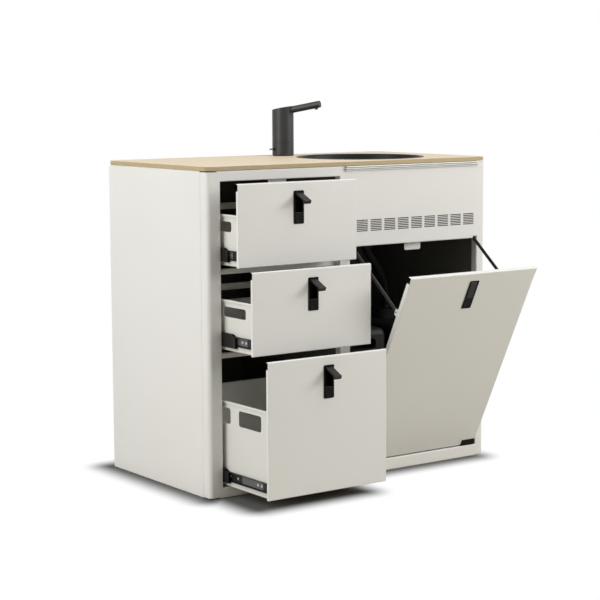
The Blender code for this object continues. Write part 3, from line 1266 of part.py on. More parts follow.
def build_tanks():
    """Two canisters on the floor of the bay, with screw caps and carrying grips."""
    bay_left = FLAP_WINDOW_LEFT + TANK_SIDE_GAP
    bay_right = FLAP_WINDOW_RIGHT - TANK_SIDE_GAP
    places = {"fresh_tank": bay_left, "waste_tank": bay_right - TANK_WIDTH}
    floor = BODY_SHEET + FIT
    top = floor + TANK_HEIGHT
    back = TANK_FRONT + TANK_DEPTH
    for name, left in places.items():
        bm = soft_block((left, TANK_FRONT, floor), (left + TANK_WIDTH, back, top), TANK_RADIUS)
        tank = add_piece(name, mesh_from(bm, name), "tank", CABINET)
        middle = left + TANK_WIDTH * HALF_SHARE
        cap_y = TANK_FRONT + TANK_DEPTH * CAP_BACK_SHARE
        join(tank, rod((middle, cap_y, top + (CAP_HEIGHT - CAP_BITE) * HALF_SHARE), CAP_RADIUS,
                       CAP_HEIGHT + CAP_BITE, 2))
        gland_z = top + CAP_HEIGHT + GLAND_HEIGHT * HALF_SHARE
        join(tank, rod((middle, cap_y, gland_z - CAP_BITE * HALF_SHARE), GLAND_RADIUS,
                       GLAND_HEIGHT + CAP_BITE, 2))
        half = TANK_WIDTH * HALF_SHARE - TANK_GRIP_BORDER
        grip_y = TANK_FRONT + TANK_GRIP_FORWARD
        cut(tank, block((middle - half, TANK_FRONT - OVERRUN, top - TANK_GRIP_DROP
                         - TANK_GRIP_HEIGHT), (middle + half, grip_y, top - TANK_GRIP_DROP),
                        TANK_RADIUS * HALF_SHARE, 1))
    return places, top + CAP_HEIGHT + GLAND_HEIGHT


def build_hoses(places, gland_top):
    """Supply hose up to the tap's shank and waste hose down from the sink."""
    cap_y = TANK_FRONT + TANK_DEPTH * CAP_BACK_SHARE
    half = TANK_WIDTH * HALF_SHARE
    fresh = Vector((places["fresh_tank"] + half, cap_y, gland_top + FIT))
    shank = Vector((TAP_X, TAP_Y, HEIGHT - WORKTOP_THICKNESS - TAP_SHANK_LENGTH - FIT))
    hose("supply_hose", fresh, shank, SUPPLY_HOSE_RADIUS)
    waste = Vector((places["waste_tank"] + half, cap_y, gland_top + FIT))
    tail_z = BOWL_BOTTOM - SINK_FALL - SINK_WALL - WASTE_TAIL_LENGTH - FIT
    hose("waste_hose", waste, Vector((SINK_X, SINK_Y, tail_z)), WASTE_HOSE_RADIUS)


def hose(name, low, high, radius):
    """Hose between two upright ends, with a soft double bend."""
    lead = Vector((0, 0, HOSE_LEAD))
    rise = Vector((0, 0, HOSE_RISE))
    start = low + lead
    end = high - lead
    bend = interpolate_bezier(start, start + rise, end - rise, end, HOSE_POINTS)
    tube(name, [low, *bend, high], radius, "hose", CABINET)


clear_scene()
PARTS = make_collection("campervan_kitchen_pod")
CUTTERS = make_collection("cutters")
LATCH_MESHES = {}
CABINET = make_empty("cabinet", None, (-WIDTH * HALF_SHARE, -DEPTH * HALF_SHARE, 0))

build_face_frame()
build_vent_panel()
build_side_panels()
build_back_and_floor()
build_worktop()
build_table_rail()
build_inner_walls()
make_latch_meshes()
for drawer_row, drawer_pull in enumerate(DRAWER_PULLS):
    build_drawer(drawer_row, drawer_pull)
build_stays(build_flap())
build_hinges()
build_sink()
build_tap()
build_hoses(*build_tanks())
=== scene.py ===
"""Campervan kitchen pod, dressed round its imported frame.

World metres, +Z up, front towards -Y. Each section makes one piece or group of like pieces.
Pieces are first worked out from the cabinet's front left bottom corner, shut, with x to the
right, y to the back and z up, and are then carried to the pose in which the pod stands.
"""
import math

import bmesh
import bpy
import numpy as np
from mathutils import Euler, Matrix, Vector
from mathutils.geometry import interpolate_bezier


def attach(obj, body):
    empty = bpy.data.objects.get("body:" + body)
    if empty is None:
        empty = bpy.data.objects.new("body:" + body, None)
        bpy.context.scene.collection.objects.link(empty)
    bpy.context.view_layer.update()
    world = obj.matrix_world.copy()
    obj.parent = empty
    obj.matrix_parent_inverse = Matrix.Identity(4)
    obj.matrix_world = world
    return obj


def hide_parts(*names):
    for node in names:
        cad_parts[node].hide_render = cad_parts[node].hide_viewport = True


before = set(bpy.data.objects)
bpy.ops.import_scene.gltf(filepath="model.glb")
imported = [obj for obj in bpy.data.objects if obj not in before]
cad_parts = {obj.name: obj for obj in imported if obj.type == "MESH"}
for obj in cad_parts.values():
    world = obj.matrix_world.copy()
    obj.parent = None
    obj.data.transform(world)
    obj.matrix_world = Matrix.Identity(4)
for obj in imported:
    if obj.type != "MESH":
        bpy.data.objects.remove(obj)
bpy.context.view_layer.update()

# Camera and studio. The camera stands to the left of the front, with a long lens. A floor that
# goes from grey to white carries the pod's soft shadow; seen directly, its dark grey round the pod
# is painted shadow. Two lamps from the front right light the fronts, two from the left the side,
# two from above the folds.
CAMERA_PLACE = (-2.9608, -4.1209, 1.1202)
CAMERA_YAW, CAMERA_PITCH, CAMERA_ROLL = 0.6228, -0.1251, -0.0050
FOCAL_PIXELS, PICTURE_PIXELS, SENSOR_MM = 1730.4, 600, 36.0
FLOOR_HALF = 15.0
FLOOR_BOUNCE, FLOOR_SEEN_PAINTED_SHADE = (0.475, 0.45, 0.365, 1.0), (0.15, 0.15, 0.15, 1.0)
SHADOW_REACH = 0.100
SHADOW_BOXES = (((-0.025, 0.0), (0.466, 0.261)), ((-0.275, -0.275), (0.17, 0.15)))
ROOM_LIGHT, LAMP_AIM = 0.18, Vector((0, 0, 0.5))
LAMPS = (("lamp_front_right", (4.4, -3.5, 2.7), 2.1, 113.0, 0.955),
         ("lamp_front", (2.6, -3.9, 2.0), 1.4, 38.0, 0.955),
         ("lamp_left", (-2.6, 0.1, 2.6), 1.8, 36.0, 1.0),
         ("lamp_left_low", (-3.6, -0.2, 1.35), 1.6, 40.0, 1.0),
         ("lamp_above_front", (0.9, -2.0, 2.8), 1.4, 22.0, 1.0),
         ("lamp_top", (0.2, -0.3, 3.8), 2.0, 20.0, 1.0))


def linked(name, data):
    """New object at the origin, put into the scene."""
    made = bpy.data.objects.new(name, data)
    bpy.context.scene.collection.objects.link(made)
    return made


def cleared(owner):
    """The owner's node tree, emptied."""
    owner.use_nodes = True
    owner.node_tree.nodes.clear()
    return owner.node_tree


def add(tree, kind, settings=None, inputs=None):
    """Adds a node. Inputs, by socket name or number, are values, outputs or other nodes.

    Another node gives its first output."""
    made = tree.nodes.new(kind)
    for name, value in (settings or {}).items():
        setattr(made, name, value)
    for name, value in (inputs or {}).items():
        if isinstance(value, bpy.types.Node):
            value = value.outputs[0]
        if isinstance(value, bpy.types.NodeSocket):
            tree.links.new(value, made.inputs[name])
        else:
            made.inputs[name].default_value = value
    return made


def build_camera():
    """Tipped up from looking down, turned to its yaw and rolled about its own axis."""
    camera = linked("camera", bpy.data.cameras.new("camera"))
    camera.data.sensor_width = SENSOR_MM
    camera.data.lens = FOCAL_PIXELS / PICTURE_PIXELS * SENSOR_MM
    turn = Euler((math.pi / 2 + CAMERA_PITCH, 0, -CAMERA_YAW)).to_matrix().to_4x4()
    roll = Matrix.Rotation(CAMERA_ROLL, 4, "Z")
    camera.matrix_world = Matrix.Translation(CAMERA_PLACE) @ turn @ roll
    bpy.context.scene.camera = camera


def seen_directly(tree):
    """1 for rays from the camera and for those that mirror or pass through, 0 for the rest."""
    path = add(tree, "ShaderNodeLightPath").outputs
    mirrored = add(tree, "ShaderNodeMath", {"operation": "MAXIMUM"}, {
        0: path["Is Camera Ray"], 1: path["Is Glossy Ray"]})
    return add(tree, "ShaderNodeMath", {"operation": "MAXIMUM"}, {
        0: mirrored, 1: path["Is Transmission Ray"]})


def distance_from_box(tree, place, middle, half):
    """Distance in plan from an upright box: the length of max(|p - middle| - half, 0)."""
    squares = {}
    for axis, (centre, reach) in enumerate(zip(middle, half)):
        value = place[axis]
        for operation, number in (("SUBTRACT", centre), ("ABSOLUTE", 0.0), ("SUBTRACT", reach),
                                  ("MAXIMUM", 0.0), ("POWER", 2.0)):
            value = add(tree, "ShaderNodeMath", {"operation": operation}, {0: value, 1: number})
        squares[axis] = value
    total = add(tree, "ShaderNodeMath", {"operation": "ADD"}, squares)
    return add(tree, "ShaderNodeMath", {"operation": "SQRT"}, {0: total})


def build_floor():
    """Matt floor that throws back a faintly warm grey.

    Seen directly, it is painted dark grey round the pod, a painted shadow over the rendered one, and plain
    white away from it."""
    mesh = bpy.data.meshes.new("studio_floor")
    corners = ((-1, -1), (1, -1), (1, 1), (-1, 1))
    mesh.from_pydata([(FLOOR_HALF * x, FLOOR_HALF * y, 0) for x, y in corners], [], [(0, 1, 2, 3)])
    matt = bpy.data.materials.new("matt_grey_floor")
    mesh.materials.append(matt)
    tree = cleared(matt)
    place = add(tree, "ShaderNodeSeparateXYZ", {}, {
        0: add(tree, "ShaderNodeTexCoord").outputs["Object"]}).outputs
    near = {number: distance_from_box(tree, place, *box) for number, box in enumerate(SHADOW_BOXES)}
    nearest = add(tree, "ShaderNodeMath", {"operation": "MINIMUM"}, near)
    away = add(tree, "ShaderNodeMapRange", {"interpolation_type": "SMOOTHSTEP"}, {
        "Value": nearest, "From Max": SHADOW_REACH})
    seen = seen_directly(tree)
    # Seen directly, the floor near the pod is painted dark grey: a painted shadow.
    grey = add(tree, "ShaderNodeMix", {"data_type": "RGBA"}, {
        "Factor": seen, 6: FLOOR_BOUNCE, 7: FLOOR_SEEN_PAINTED_SHADE})
    paint = add(tree, "ShaderNodeBsdfDiffuse", {}, {"Color": grey.outputs[2]})
    white = add(tree, "ShaderNodeEmission", {}, {"Color": (1, 1, 1, 1)})
    share = add(tree, "ShaderNodeMath", {"operation": "MULTIPLY"}, {0: seen, 1: away})
    both = add(tree, "ShaderNodeMixShader", {}, {0: share, 1: paint, 2: white})
    add(tree, "ShaderNodeOutputMaterial", {}, {"Surface": both})
    linked("studio_floor", mesh)


def build_light():
    """Plain white room and soft square lamps, turned to the middle of the pod.

    The last value of a lamp is its share of blue; the two front ones are faintly warm."""
    world = bpy.context.scene.world = bpy.data.worlds.new("white_room")
    tree = cleared(world)
    level = add(tree, "ShaderNodeMapRange", {}, {
        "Value": seen_directly(tree), "To Min": ROOM_LIGHT, "To Max": 1.0})
    back = add(tree, "ShaderNodeBackground", {}, {"Color": (1, 1, 1, 1), "Strength": level})
    add(tree, "ShaderNodeOutputWorld", {}, {"Surface": back})
    for name, place, size, power, blue in LAMPS:
        lamp = linked(name, bpy.data.lights.new(name, "AREA"))
        lamp.data.size = size
        lamp.data.energy = power
        lamp.data.color = (1.0, (1 + blue) / 2, blue)
        lamp.location = place
        lamp.rotation_euler = (LAMP_AIM - Vector(place)).to_track_quat("-Z", "Y").to_euler()
    bpy.context.scene.view_settings.view_transform = "Standard"


build_camera()
build_floor()
build_light()

# Outer sheets: sides, back and front frame, each one blank of 2 mm aluminium, cut out, folded
# and powder-coated in warm white. The frame wraps round both corners in a broad bend; two
# angles and the upper latches' strikes are welded inside it.
WIDTH, DEPTH, HEIGHT, TOP = 0.982, 0.522, 0.900, 0.8877
BODY_SHEET, FOLD, CORNER_BEND = 0.002, 0.0028, 0.0125
SEAM, GAP, FLANGE, SEAM_FLANGE, BACK_FLANGE = 0.0334, 0.0003, 0.020, 0.014, 0.0157
BEND_SPANS, SMOOTH_ANGLE, MM_PER_METRE = 6, math.radians(32), 1000
CUT_EDGE, FINE_EDGE, WELD, SHEET_WELD, NEAR = 0.0003, 0.0002, 1e-7, 1e-5, 1e-6
DRAWER_WINDOW = (0.043, 0.4415, 0.0285, 0.8595)
FLAP_WINDOW = (0.4772, 0.9495, 0.0345, 0.6590)
STAY_NOTCH, STAY_NOTCH_RISE = 0.0138, 0.0065
SLOT_GROUPS, SLOT_ROWS, SLOT_MARGIN, SLOT_MARGIN_RIGHT, SLOT_SHARE = 9, 7, 0.0233, 0.0118, 0.82
SLOT_HIGH, SLOT_STEP, SLOT_RISE = 0.0027, 0.0050, 0.0420
WINDOW_RETURN = 0.022
RAIL_TOPS, RAIL_HIGH, RAIL_DEEP = (0.6219, 0.3933), 0.0135, 0.015
STRIKE_SET_BACK, STRIKE_SHEET, STRIKE_WIDE, STRIKE_ROUND = 0.020, 0.0015, 0.060, 0.005
DRAWER_MIDDLE, DRAWER_STRIKE = 0.24225, 0.8370
FLAP_LATCH_X, FLAP_STRIKE = 0.71985, 0.6365
PLAIN_SHEETS = (
    ("side_sheet_left", "side_panel_left", -DEPTH, -SEAM - GAP, FLANGE, -90, (0, 0, 0)),
    ("side_sheet_right", "side_panel_right", SEAM + GAP, DEPTH, FLANGE, 90, (WIDTH, 0, 0)),
    ("back_sheet", "back_panel", -WIDTH + FLANGE + GAP, -FLANGE - GAP, BACK_FLANGE, 180,
     (0, DEPTH, 0)))
CABINET_CORNER = Vector((-WIDTH / 2, -DEPTH / 2, 0.0))


def placed(x=0, y=0, z=0):
    """Matrix that carries the origin to a point of the cabinet."""
    return Matrix.Translation(CABINET_CORNER + Vector((x, y, z)))


def linear(colour):
    """sRGB hex to linear light: the sRGB curve undone for each channel."""
    values = np.array([int(colour[i:i + 2], 16) for i in (1, 3, 5)]) / 255
    bright = ((values + 0.055) / 1.055) ** 2.4
    return (*np.where(values <= 0.04045, values / 12.92, bright), 1.0)


def noise(tree, size_mm, detail=2.0, stretch=(1, 1, 1)):
    """Noise whose features are about size_mm across; stretch scales the axes apart."""
    place = add(tree, "ShaderNodeVectorMath", {"operation": "MULTIPLY"}, {
        0: add(tree, "ShaderNodeTexCoord").outputs["Object"], 1: stretch})
    return add(tree, "ShaderNodeTexNoise", {}, {
        "Vector": place, "Scale": MM_PER_METRE / size_mm, "Detail": detail})


def finish(name, slot, settings, tone, rough=None, relief=None):
    """New material and its slot. Colour, roughness and relief each follow a factor.

    tone is a factor and two hex colours, rough a factor and two values, relief a factor, a
    strength and a distance. A factor is a noise's size in mm, detail and stretch, or a
    function that builds it in the tree."""
    material = bpy.data.materials.new(name)
    material.use_nodes = True
    tree = material.node_tree
    inputs = tree.nodes["Principled BSDF"].inputs
    for socket, value in settings.items():
        inputs[socket].default_value = value

    def built(factor):
        return factor(tree) if callable(factor) else noise(tree, *factor)

    colour = add(tree, "ShaderNodeMix", {"data_type": "RGBA"}, {
        "Factor": built(tone[0]), 6: linear(tone[1]), 7: linear(tone[2])})
    tree.links.new(colour.outputs[2], inputs["Base Color"])
    if rough:
        span = add(tree, "ShaderNodeMapRange", {}, {
            "Value": built(rough[0]), "To Min": rough[1], "To Max": rough[2]})
        tree.links.new(span.outputs[0], inputs["Roughness"])
    if relief:
        bump = add(tree, "ShaderNodeBump", {}, {
            "Height": built(relief[0]), "Strength": relief[1], "Distance": relief[2]})
        tree.links.new(bump.outputs[0], inputs["Normal"])
    return material, slot


def powder_coat(name, slot, colour, shade, roughness, peel_mm=3.0, metallic=0.0):
    """Powder coat: baked satin film with an orange-peel skin.

    The real peel is about 1 mm across; it is drawn broader so that it shows. Broad, faint
    clouds of tone stand for the film's uneven thickness."""
    clouds = (180,)
    return finish(name, slot, {"IOR": 1.5, "Metallic": metallic}, (clouds, colour, shade),
                  (clouds, roughness - 0.04, roughness + 0.05), ((peel_mm,), 0.06, 0.0003))


def strip(steps, heading, start, base):
    """Side view of a folded strip. Each step is a straight run and the bend after it.

    A step is (run, turn in degrees, radius). The place is the running sum of each chord
    times the cosine and sine of the heading at its middle. Returns the distance along the
    strip, equal to the first coordinate on the flat run number base, and both coordinates."""
    length, turn = [], []
    for index, (run, bend, radius) in enumerate(steps):
        if index == base:
            mark = len(length)
        length.append(run)
        turn.append(0)
        if bend:
            length += [abs(math.radians(bend)) * radius / BEND_SPANS] * BEND_SPANS
            turn += [math.radians(bend) / BEND_SPANS] * BEND_SPANS
    length, turn = np.array(length), np.array(turn)
    middle = math.radians(heading) + np.cumsum(turn) - turn / 2
    chord = length * np.sinc(turn / math.tau)
    along = np.append(0, np.cumsum(length))
    first = start[0] + np.append(0, np.cumsum(chord * np.cos(middle)))
    second = start[1] + np.append(0, np.cumsum(chord * np.sin(middle)))
    return along - along[mark] + first[mark], first, second


def flanged(low, high, flange, radius):
    """Strip with a flat middle from low to high and a flange turned back at each end."""
    return strip([(flange - radius, 90, radius), (high - low - 2 * radius, 90, radius),
                  (flange - radius, 0, 0)], -90, (low, flange), 1)


def level(*stations):
    """Flat strip through the given stations."""
    stations = np.unique(np.round(stations, 7))
    return stations, stations, np.zeros(len(stations))


def scored(path, places):
    """The same strip with more stations, put in by straight-line interpolation."""
    along = np.unique(np.round(np.concatenate([path[0], places]), 7))
    return along, np.interp(along, path[0], path[1]), np.interp(along, path[0], path[2])


def within(value, low, high):
    return (value > low) & (value < high)


def blank(s, t, keep=None):
    """Folded blank: a grid over both strips, whose depths add up.

    The point for (s, t) is (first of s, depth of s + depth of t, first of t). Cells whose
    middle fails the test keep(s, t) are cut away, as are points that no cell uses."""
    across, down = len(s[0]), len(t[0])
    points = np.stack([np.repeat(s[1], down), np.add.outer(s[2], t[2]).ravel(),
                       np.tile(t[1], across)], axis=1)
    corner = np.arange(across * down).reshape(across, down)[:-1, :-1]
    middles = [(path[0][1:] + path[0][:-1]) / 2 for path in (s, t)]
    corner = corner[keep(*np.meshgrid(*middles, indexing="ij"))] if keep else corner.ravel()
    faces = np.stack([corner, corner + down, corner + down + 1, corner + 1], axis=1)
    used, faces = np.unique(faces, return_inverse=True)
    return points[used], faces.reshape(-1, 4)


def joined(*parts):
    """Several point and face arrays as one."""
    starts = np.cumsum([0] + [len(points) for points, _ in parts[:-1]])
    return (np.concatenate([points for points, _ in parts]),
            np.concatenate([faces + start for (_, faces), start in zip(parts, starts)]))


def ring_skin(rings, closed=True):
    """Quads between successive rings of points; rings has the shape (rings, points, 3)."""
    count, size = rings.shape[:2]
    place = np.arange(count * size).reshape(count, size)
    after = np.roll(place, -1, axis=1)
    cells = [place[:-1], after[:-1], after[1:], place[1:]]
    faces = np.stack([cell if closed else cell[:, :-1] for cell in cells], axis=2)
    return rings.reshape(-1, 3), faces.reshape(-1, 4)


def folded_edge(s, t, corners, radius, depth, closed=True):
    """Lip folded back along a run of the blank's edge: a quarter bend, then straight back.

    The run goes through the corners (x, z) with the sheet on its right, and takes every
    station on its way. A ring is the run moved out by radius x sin(a) and back by
    radius x (1 - cos(a)), for a up to a quarter turn; at a corner both ways out add up."""
    corners = np.array(corners, float)
    ends = np.roll(corners, -1, axis=0) if closed else corners[1:]
    ways = np.sign(np.round(ends - corners[:len(ends)], 6))
    out = np.stack([-ways[:, 1], ways[:, 0]], axis=1)
    before = np.roll(out, 1, axis=0) if closed else np.vstack([[0, 0], out[:-1]])
    places, leaving = [], []
    for start, end, way, here, last in zip(corners, ends, ways, out, before):
        axis = int(way[0] == 0)
        low, high = sorted((start[axis], end[axis]))
        _, first, deep = (s, t)[axis]
        between = first[within(first, low + NEAR, high - NEAR) & (deep < NEAR)]
        run = np.tile(start, (len(between) + 1, 1))
        run[1:, axis] = between if way[axis] > 0 else between[::-1]
        places.append(run)
        leaving.append(np.tile(here, (len(run), 1)))
        leaving[-1][0] += last
    if not closed:
        places.append(corners[-1:])
        leaving.append(out[-1:])
    edge, leaving = np.concatenate(places), np.concatenate(leaving)
    angle = np.linspace(0, math.pi / 2, BEND_SPANS + 1)
    move = np.append(radius * np.sin(angle), radius)
    back = np.append(radius * (1 - np.cos(angle)), depth)
    flat = edge + move[:, None, None] * leaving
    deep = np.broadcast_to(back[:, None], flat.shape[:2])
    return ring_skin(np.stack([flat[..., 0], deep, flat[..., 1]], axis=2), closed)


def turned(points, degrees):
    """Points turned about the upright axis: x cos - y sin, x sin + y cos."""
    cos, sin = math.cos(math.radians(degrees)), math.sin(math.radians(degrees))
    x, y, z = points.T
    return np.stack([x * cos - y * sin, x * sin + y * cos, z], axis=1)


def skin(name, points, faces, weld=WELD, outward=False):
    """Object at the origin with the given points, welded, and faces, turned outward if asked."""
    mesh = bpy.data.meshes.new(name)
    mesh.from_pydata(points, [], [face.tolist() for face in faces])
    mesh.validate()
    bm = bmesh.new()
    bm.from_mesh(mesh)
    if weld:
        bmesh.ops.remove_doubles(bm, verts=bm.verts, dist=weld)
    if outward:
        bmesh.ops.recalc_face_normals(bm, faces=bm.faces)
    bm.to_mesh(mesh)
    bm.free()
    return linked(name, mesh)


def rounded(*corners, spans=5):
    """Outline through corners (first, second, radius), each rounded by an arc.

    The arc's centre lies on the corner's bisector at radius / sin(half its angle)."""
    places = np.array([corner[:2] for corner in corners])
    neighbours = zip(places, np.roll(places, 1, 0), np.roll(places, -1, 0), corners)
    outline = []
    for here, before, after, (_, _, radius) in neighbours:
        if not radius:
            outline.append(here[None])
            continue
        to_last, to_next = ((place - here) / np.linalg.norm(place - here) for place in (before, after))
        half = math.acos(np.clip(to_last @ to_next, -1, 1)) / 2
        bisector = (to_last + to_next) / np.linalg.norm(to_last + to_next)
        centre = here + bisector * radius / math.sin(half)
        begin, end = (here + way * radius / math.tan(half) - centre for way in (to_last, to_next))
        first = math.atan2(begin[1], begin[0])
        sweep = (math.atan2(end[1], end[0]) - first + math.pi) % math.tau - math.pi
        angle = first + np.linspace(0, sweep, spans + 1)
        outline.append(centre + radius * np.stack([np.cos(angle), np.sin(angle)], axis=1))
    return np.concatenate(outline)


def rectangle(left, right, low, high, radius=0.0):
    """Outline of a rectangle whose four corners share one radius."""
    return rounded((left, low, radius), (right, low, radius), (right, high, radius),
                   (left, high, radius))


def prism(name, outline, axis, near, far):
    """Closed solid: an outline in the two other axes, carried along one axis."""
    count = len(outline)
    ends = np.repeat(sorted((near, far)), count)
    points = np.insert(np.tile(outline, (2, 1)), axis, ends, axis=1)
    ring = np.arange(count)
    after = np.roll(ring, -1)
    sides = np.stack([ring, after, after + count, ring + count], axis=1)
    return skin(name, points, [*sides, ring[::-1], ring + count], weld=0, outward=True)


def settle(piece):
    """Puts the piece's modifiers into its mesh."""
    bpy.context.view_layer.update()
    graph = bpy.context.evaluated_depsgraph_get()
    mesh = bpy.data.meshes.new_from_object(piece.evaluated_get(graph), depsgraph=graph)
    old = piece.data
    piece.modifiers.clear()
    piece.data = mesh
    mesh.name = piece.name
    bpy.data.meshes.remove(old)


def combined(piece, other, operation="DIFFERENCE"):
    """Takes another closed piece away from this one, or joins it on; the other goes."""
    step = piece.modifiers.new("combined", "BOOLEAN")
    step.operation = operation
    step.solver = "EXACT"
    step.object = other
    settle(piece)
    bpy.data.objects.remove(other, do_unlink=True)
    return piece


def soften(piece, width, segments=2, angle=40):
    """Rounds every edge sharper than the angle."""
    step = piece.modifiers.new("soft_edges", "BEVEL")
    step.width = width
    step.segments = segments
    step.limit_method = "ANGLE"
    step.angle_limit = math.radians(angle)
    step.use_clamp_overlap = True
    return piece


def sheet_metal(name, shape, thickness, edge=CUT_EDGE):
    """Gives a folded blank its thickness behind its face, and softens the cut edges."""
    piece = skin(name, *shape, weld=SHEET_WELD)
    wall = piece.modifiers.new("thickness", "SOLIDIFY")
    wall.solidify_mode = "NON_MANIFOLD"
    wall.nonmanifold_thickness_mode = "CONSTRAINTS"
    wall.thickness = thickness
    wall.offset = -1
    settle(piece)
    return soften(piece, edge, 1, 50)


def dress(piece, coat, body, *nodes, where=placed()):
    """Finishes a piece: smooth bends and true flats, its place, coat, body and nodes.

    A coat is a material and its slot."""
    material, slot = coat
    settle(piece)
    piece.data.shade_smooth()
    piece.data.set_sharp_from_angle(angle=SMOOTH_ANGLE)
    weigh = piece.modifiers.new("true_flats", "WEIGHTED_NORMAL")
    weigh.keep_sharp = True
    weigh.weight = 100
    settle(piece)
    piece.data.transform(where)
    piece.data.materials.clear()
    piece.data.materials.append(material)
    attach(piece, body)
    if nodes:
        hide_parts(*nodes)
    return piece


def build_plain_sheets():
    """Sides and back, drawn facing forward with a flange all round, and turned to their places."""
    for name, node, low, high, flange, turn, corner in PLAIN_SHEETS:
        shape = blank(flanged(low, high, flange, FOLD), flanged(0, TOP, flange, FOLD), lambda a, b:
                      within(a, low + FOLD, high - FOLD) | within(b, FOLD, TOP - FOLD))
        shape = turned(shape[0], turn) + corner, shape[1]
        dress(sheet_metal(name, shape, BODY_SHEET), white_coat, "cabinet", node)


def front_frame():
    """Blank of the front, wrapped round both corners, with its windows and vent slots cut out.

    Stations lie on every cut's edge; each window's edge is then folded back as a lip."""
    arm, tail = SEAM - CORNER_BEND - FOLD, SEAM_FLANGE - FOLD
    s = strip([(tail, 90, FOLD), (arm, 90, CORNER_BEND), (WIDTH - 2 * CORNER_BEND, 90, CORNER_BEND),
               (arm, 90, FOLD), (tail, 0, 0)], 180, (SEAM_FLANGE, SEAM), 2)
    t = flanged(0, TOP, FLANGE, FOLD)
    ends = (CORNER_BEND + FLANGE, WIDTH - CORNER_BEND - FLANGE)
    x1, x2, z1, z2 = (edge + way * FOLD for edge, way in zip(DRAWER_WINDOW, (-1, 1, -1, 1)))
    x3, x4, z3, z4 = (edge + way * FOLD for edge, way in zip(FLAP_WINDOW, (-1, 1, -1, 1)))
    notch = (x3 + FOLD + STAY_NOTCH, x4 - FOLD - STAY_NOTCH, z4 - FOLD + STAY_NOTCH_RISE)
    step = (x4 - x3 - 2 * FOLD - SLOT_MARGIN - SLOT_MARGIN_RIGHT) / (SLOT_GROUPS - 1 + SLOT_SHARE)
    groups = x3 + FOLD + SLOT_MARGIN + step * np.arange(SLOT_GROUPS)
    rows = FLAP_WINDOW[3] + SLOT_RISE + SLOT_STEP * np.arange(SLOT_ROWS)
    s = scored(s, [x1, x2, x3, x4, *ends, *notch[:2], *groups, *(groups + step * SLOT_SHARE)])
    t = scored(t, [z1, z2, z3, z4, notch[2], *rows, *(rows + SLOT_HIGH)])

    def keep(a, b):
        kept = within(b, FOLD, TOP - FOLD) | within(a, *ends)
        kept &= ~(within(a, x1, x2) & within(b, z1, z2)) & ~(within(a, x3, x4) & within(b, z3, z4))
        kept &= ~(within(a, x3, x4) & ~within(a, *notch[:2]) & within(b, z3, notch[2]))
        in_group = np.any([within(a, x, x + step * SLOT_SHARE) for x in groups], axis=0)
        return kept & ~(in_group & np.any([within(b, z, z + SLOT_HIGH) for z in rows], axis=0))

    lips = (([(x1, z1), (x2, z1), (x2, z2), (x1, z2)], True),
            ([(x3, notch[2]), (x3, z3), (x4, z3), (x4, notch[2])], False),
            ([(notch[1], z4), (notch[0], z4)], False))
    return joined(blank(s, t, keep), *[folded_edge(s, t, run, FOLD, WINDOW_RETURN, closed)
                                       for run, closed in lips])


def strike_tab(name, middle, bottom, top):
    """Tab with rounded lower corners that a latch bolt closes behind."""
    left, right = middle - STRIKE_WIDE / 2, middle + STRIKE_WIDE / 2
    outline = rounded((left, bottom, STRIKE_ROUND), (right, bottom, STRIKE_ROUND), (right, top, 0),
                      (left, top, 0))
    tab = prism(name, outline, 1, STRIKE_SET_BACK, STRIKE_SET_BACK + STRIKE_SHEET)
    dress(soften(tab, CUT_EDGE, 1), white_coat, "cabinet")


def build_front_frame():
    """The frame, and behind its windows the two angles and the two strikes."""
    front = sheet_metal("front_frame", front_frame(), BODY_SHEET)
    dress(front, white_coat, "cabinet", "face_frame", "vent_panel")
    for number, top in enumerate(RAIL_TOPS, 2):
        side = strip([(RAIL_HIGH - FOLD, 90, FOLD), (RAIL_DEEP - FOLD, 0, 0)], 0,
                     (top - RAIL_HIGH, STRIKE_SET_BACK), 0)
        shape = blank(level(*DRAWER_WINDOW[:2]), side)
        dress(sheet_metal(f"cross_rail_{number}", shape, STRIKE_SHEET), white_coat, "cabinet")
    strike_tab("strike_tab_drawers", DRAWER_MIDDLE, DRAWER_STRIKE, DRAWER_WINDOW[3])
    strike_tab("strike_tab_flap", FLAP_LATCH_X, FLAP_STRIKE, FLAP_WINDOW[3] + BODY_SHEET)


# Warm white powder coat, satin.
white_coat = powder_coat("powder_coat_warm_white", "white_powder_coat", "#EEEDEA", "#EAE9E5", 0.38)
build_plain_sheets()
build_front_frame()

# Worktop: 12 mm birch board with rounded corners and a softened, oiled edge, cut out for the
# sink and the tap's shank. The grain runs the long way; the edge shows the end plies, drawn darker as
# painted shade.
BOARD_THICK, BOARD_OVER, BOARD_ROUND, BOARD_SOFT = 0.012, 0.0015, 0.020, 0.0013
SINK_X, SINK_Y, SINK_HOLE = 0.6842, 0.2225, 0.1795
TAP_X, TAP_Y, TAP_HOLE = 0.5568, 0.4386, 0.0125
PORES, PLY = (9, 2.0, (0.25, 6.0, 6.0)), 0.0015


def around(spans):
    """Cosine and sine of evenly spaced angles, once round."""
    angle = np.linspace(0, math.tau, spans, endpoint=False)
    return np.cos(angle), np.sin(angle)


def circle(x, y, radius, spans):
    """Points round a circle: centre + radius x (cos, sin)."""
    cos, sin = around(spans)
    return np.stack([x + radius * cos, y + radius * sin], axis=1)


def wood_figure(tree):
    """Soft streaks 3 to 5 mm wide with short fine pores drawn into them."""
    streaks = add(tree, "ShaderNodeMath", {"operation": "MULTIPLY"}, {
        0: noise(tree, 90, 4.0, (0.9, 14.0, 14.0)), 1: 0.75})
    return add(tree, "ShaderNodeMath", {"operation": "MULTIPLY_ADD"}, {
        0: noise(tree, *PORES), 1: 0.45, 2: streaks})


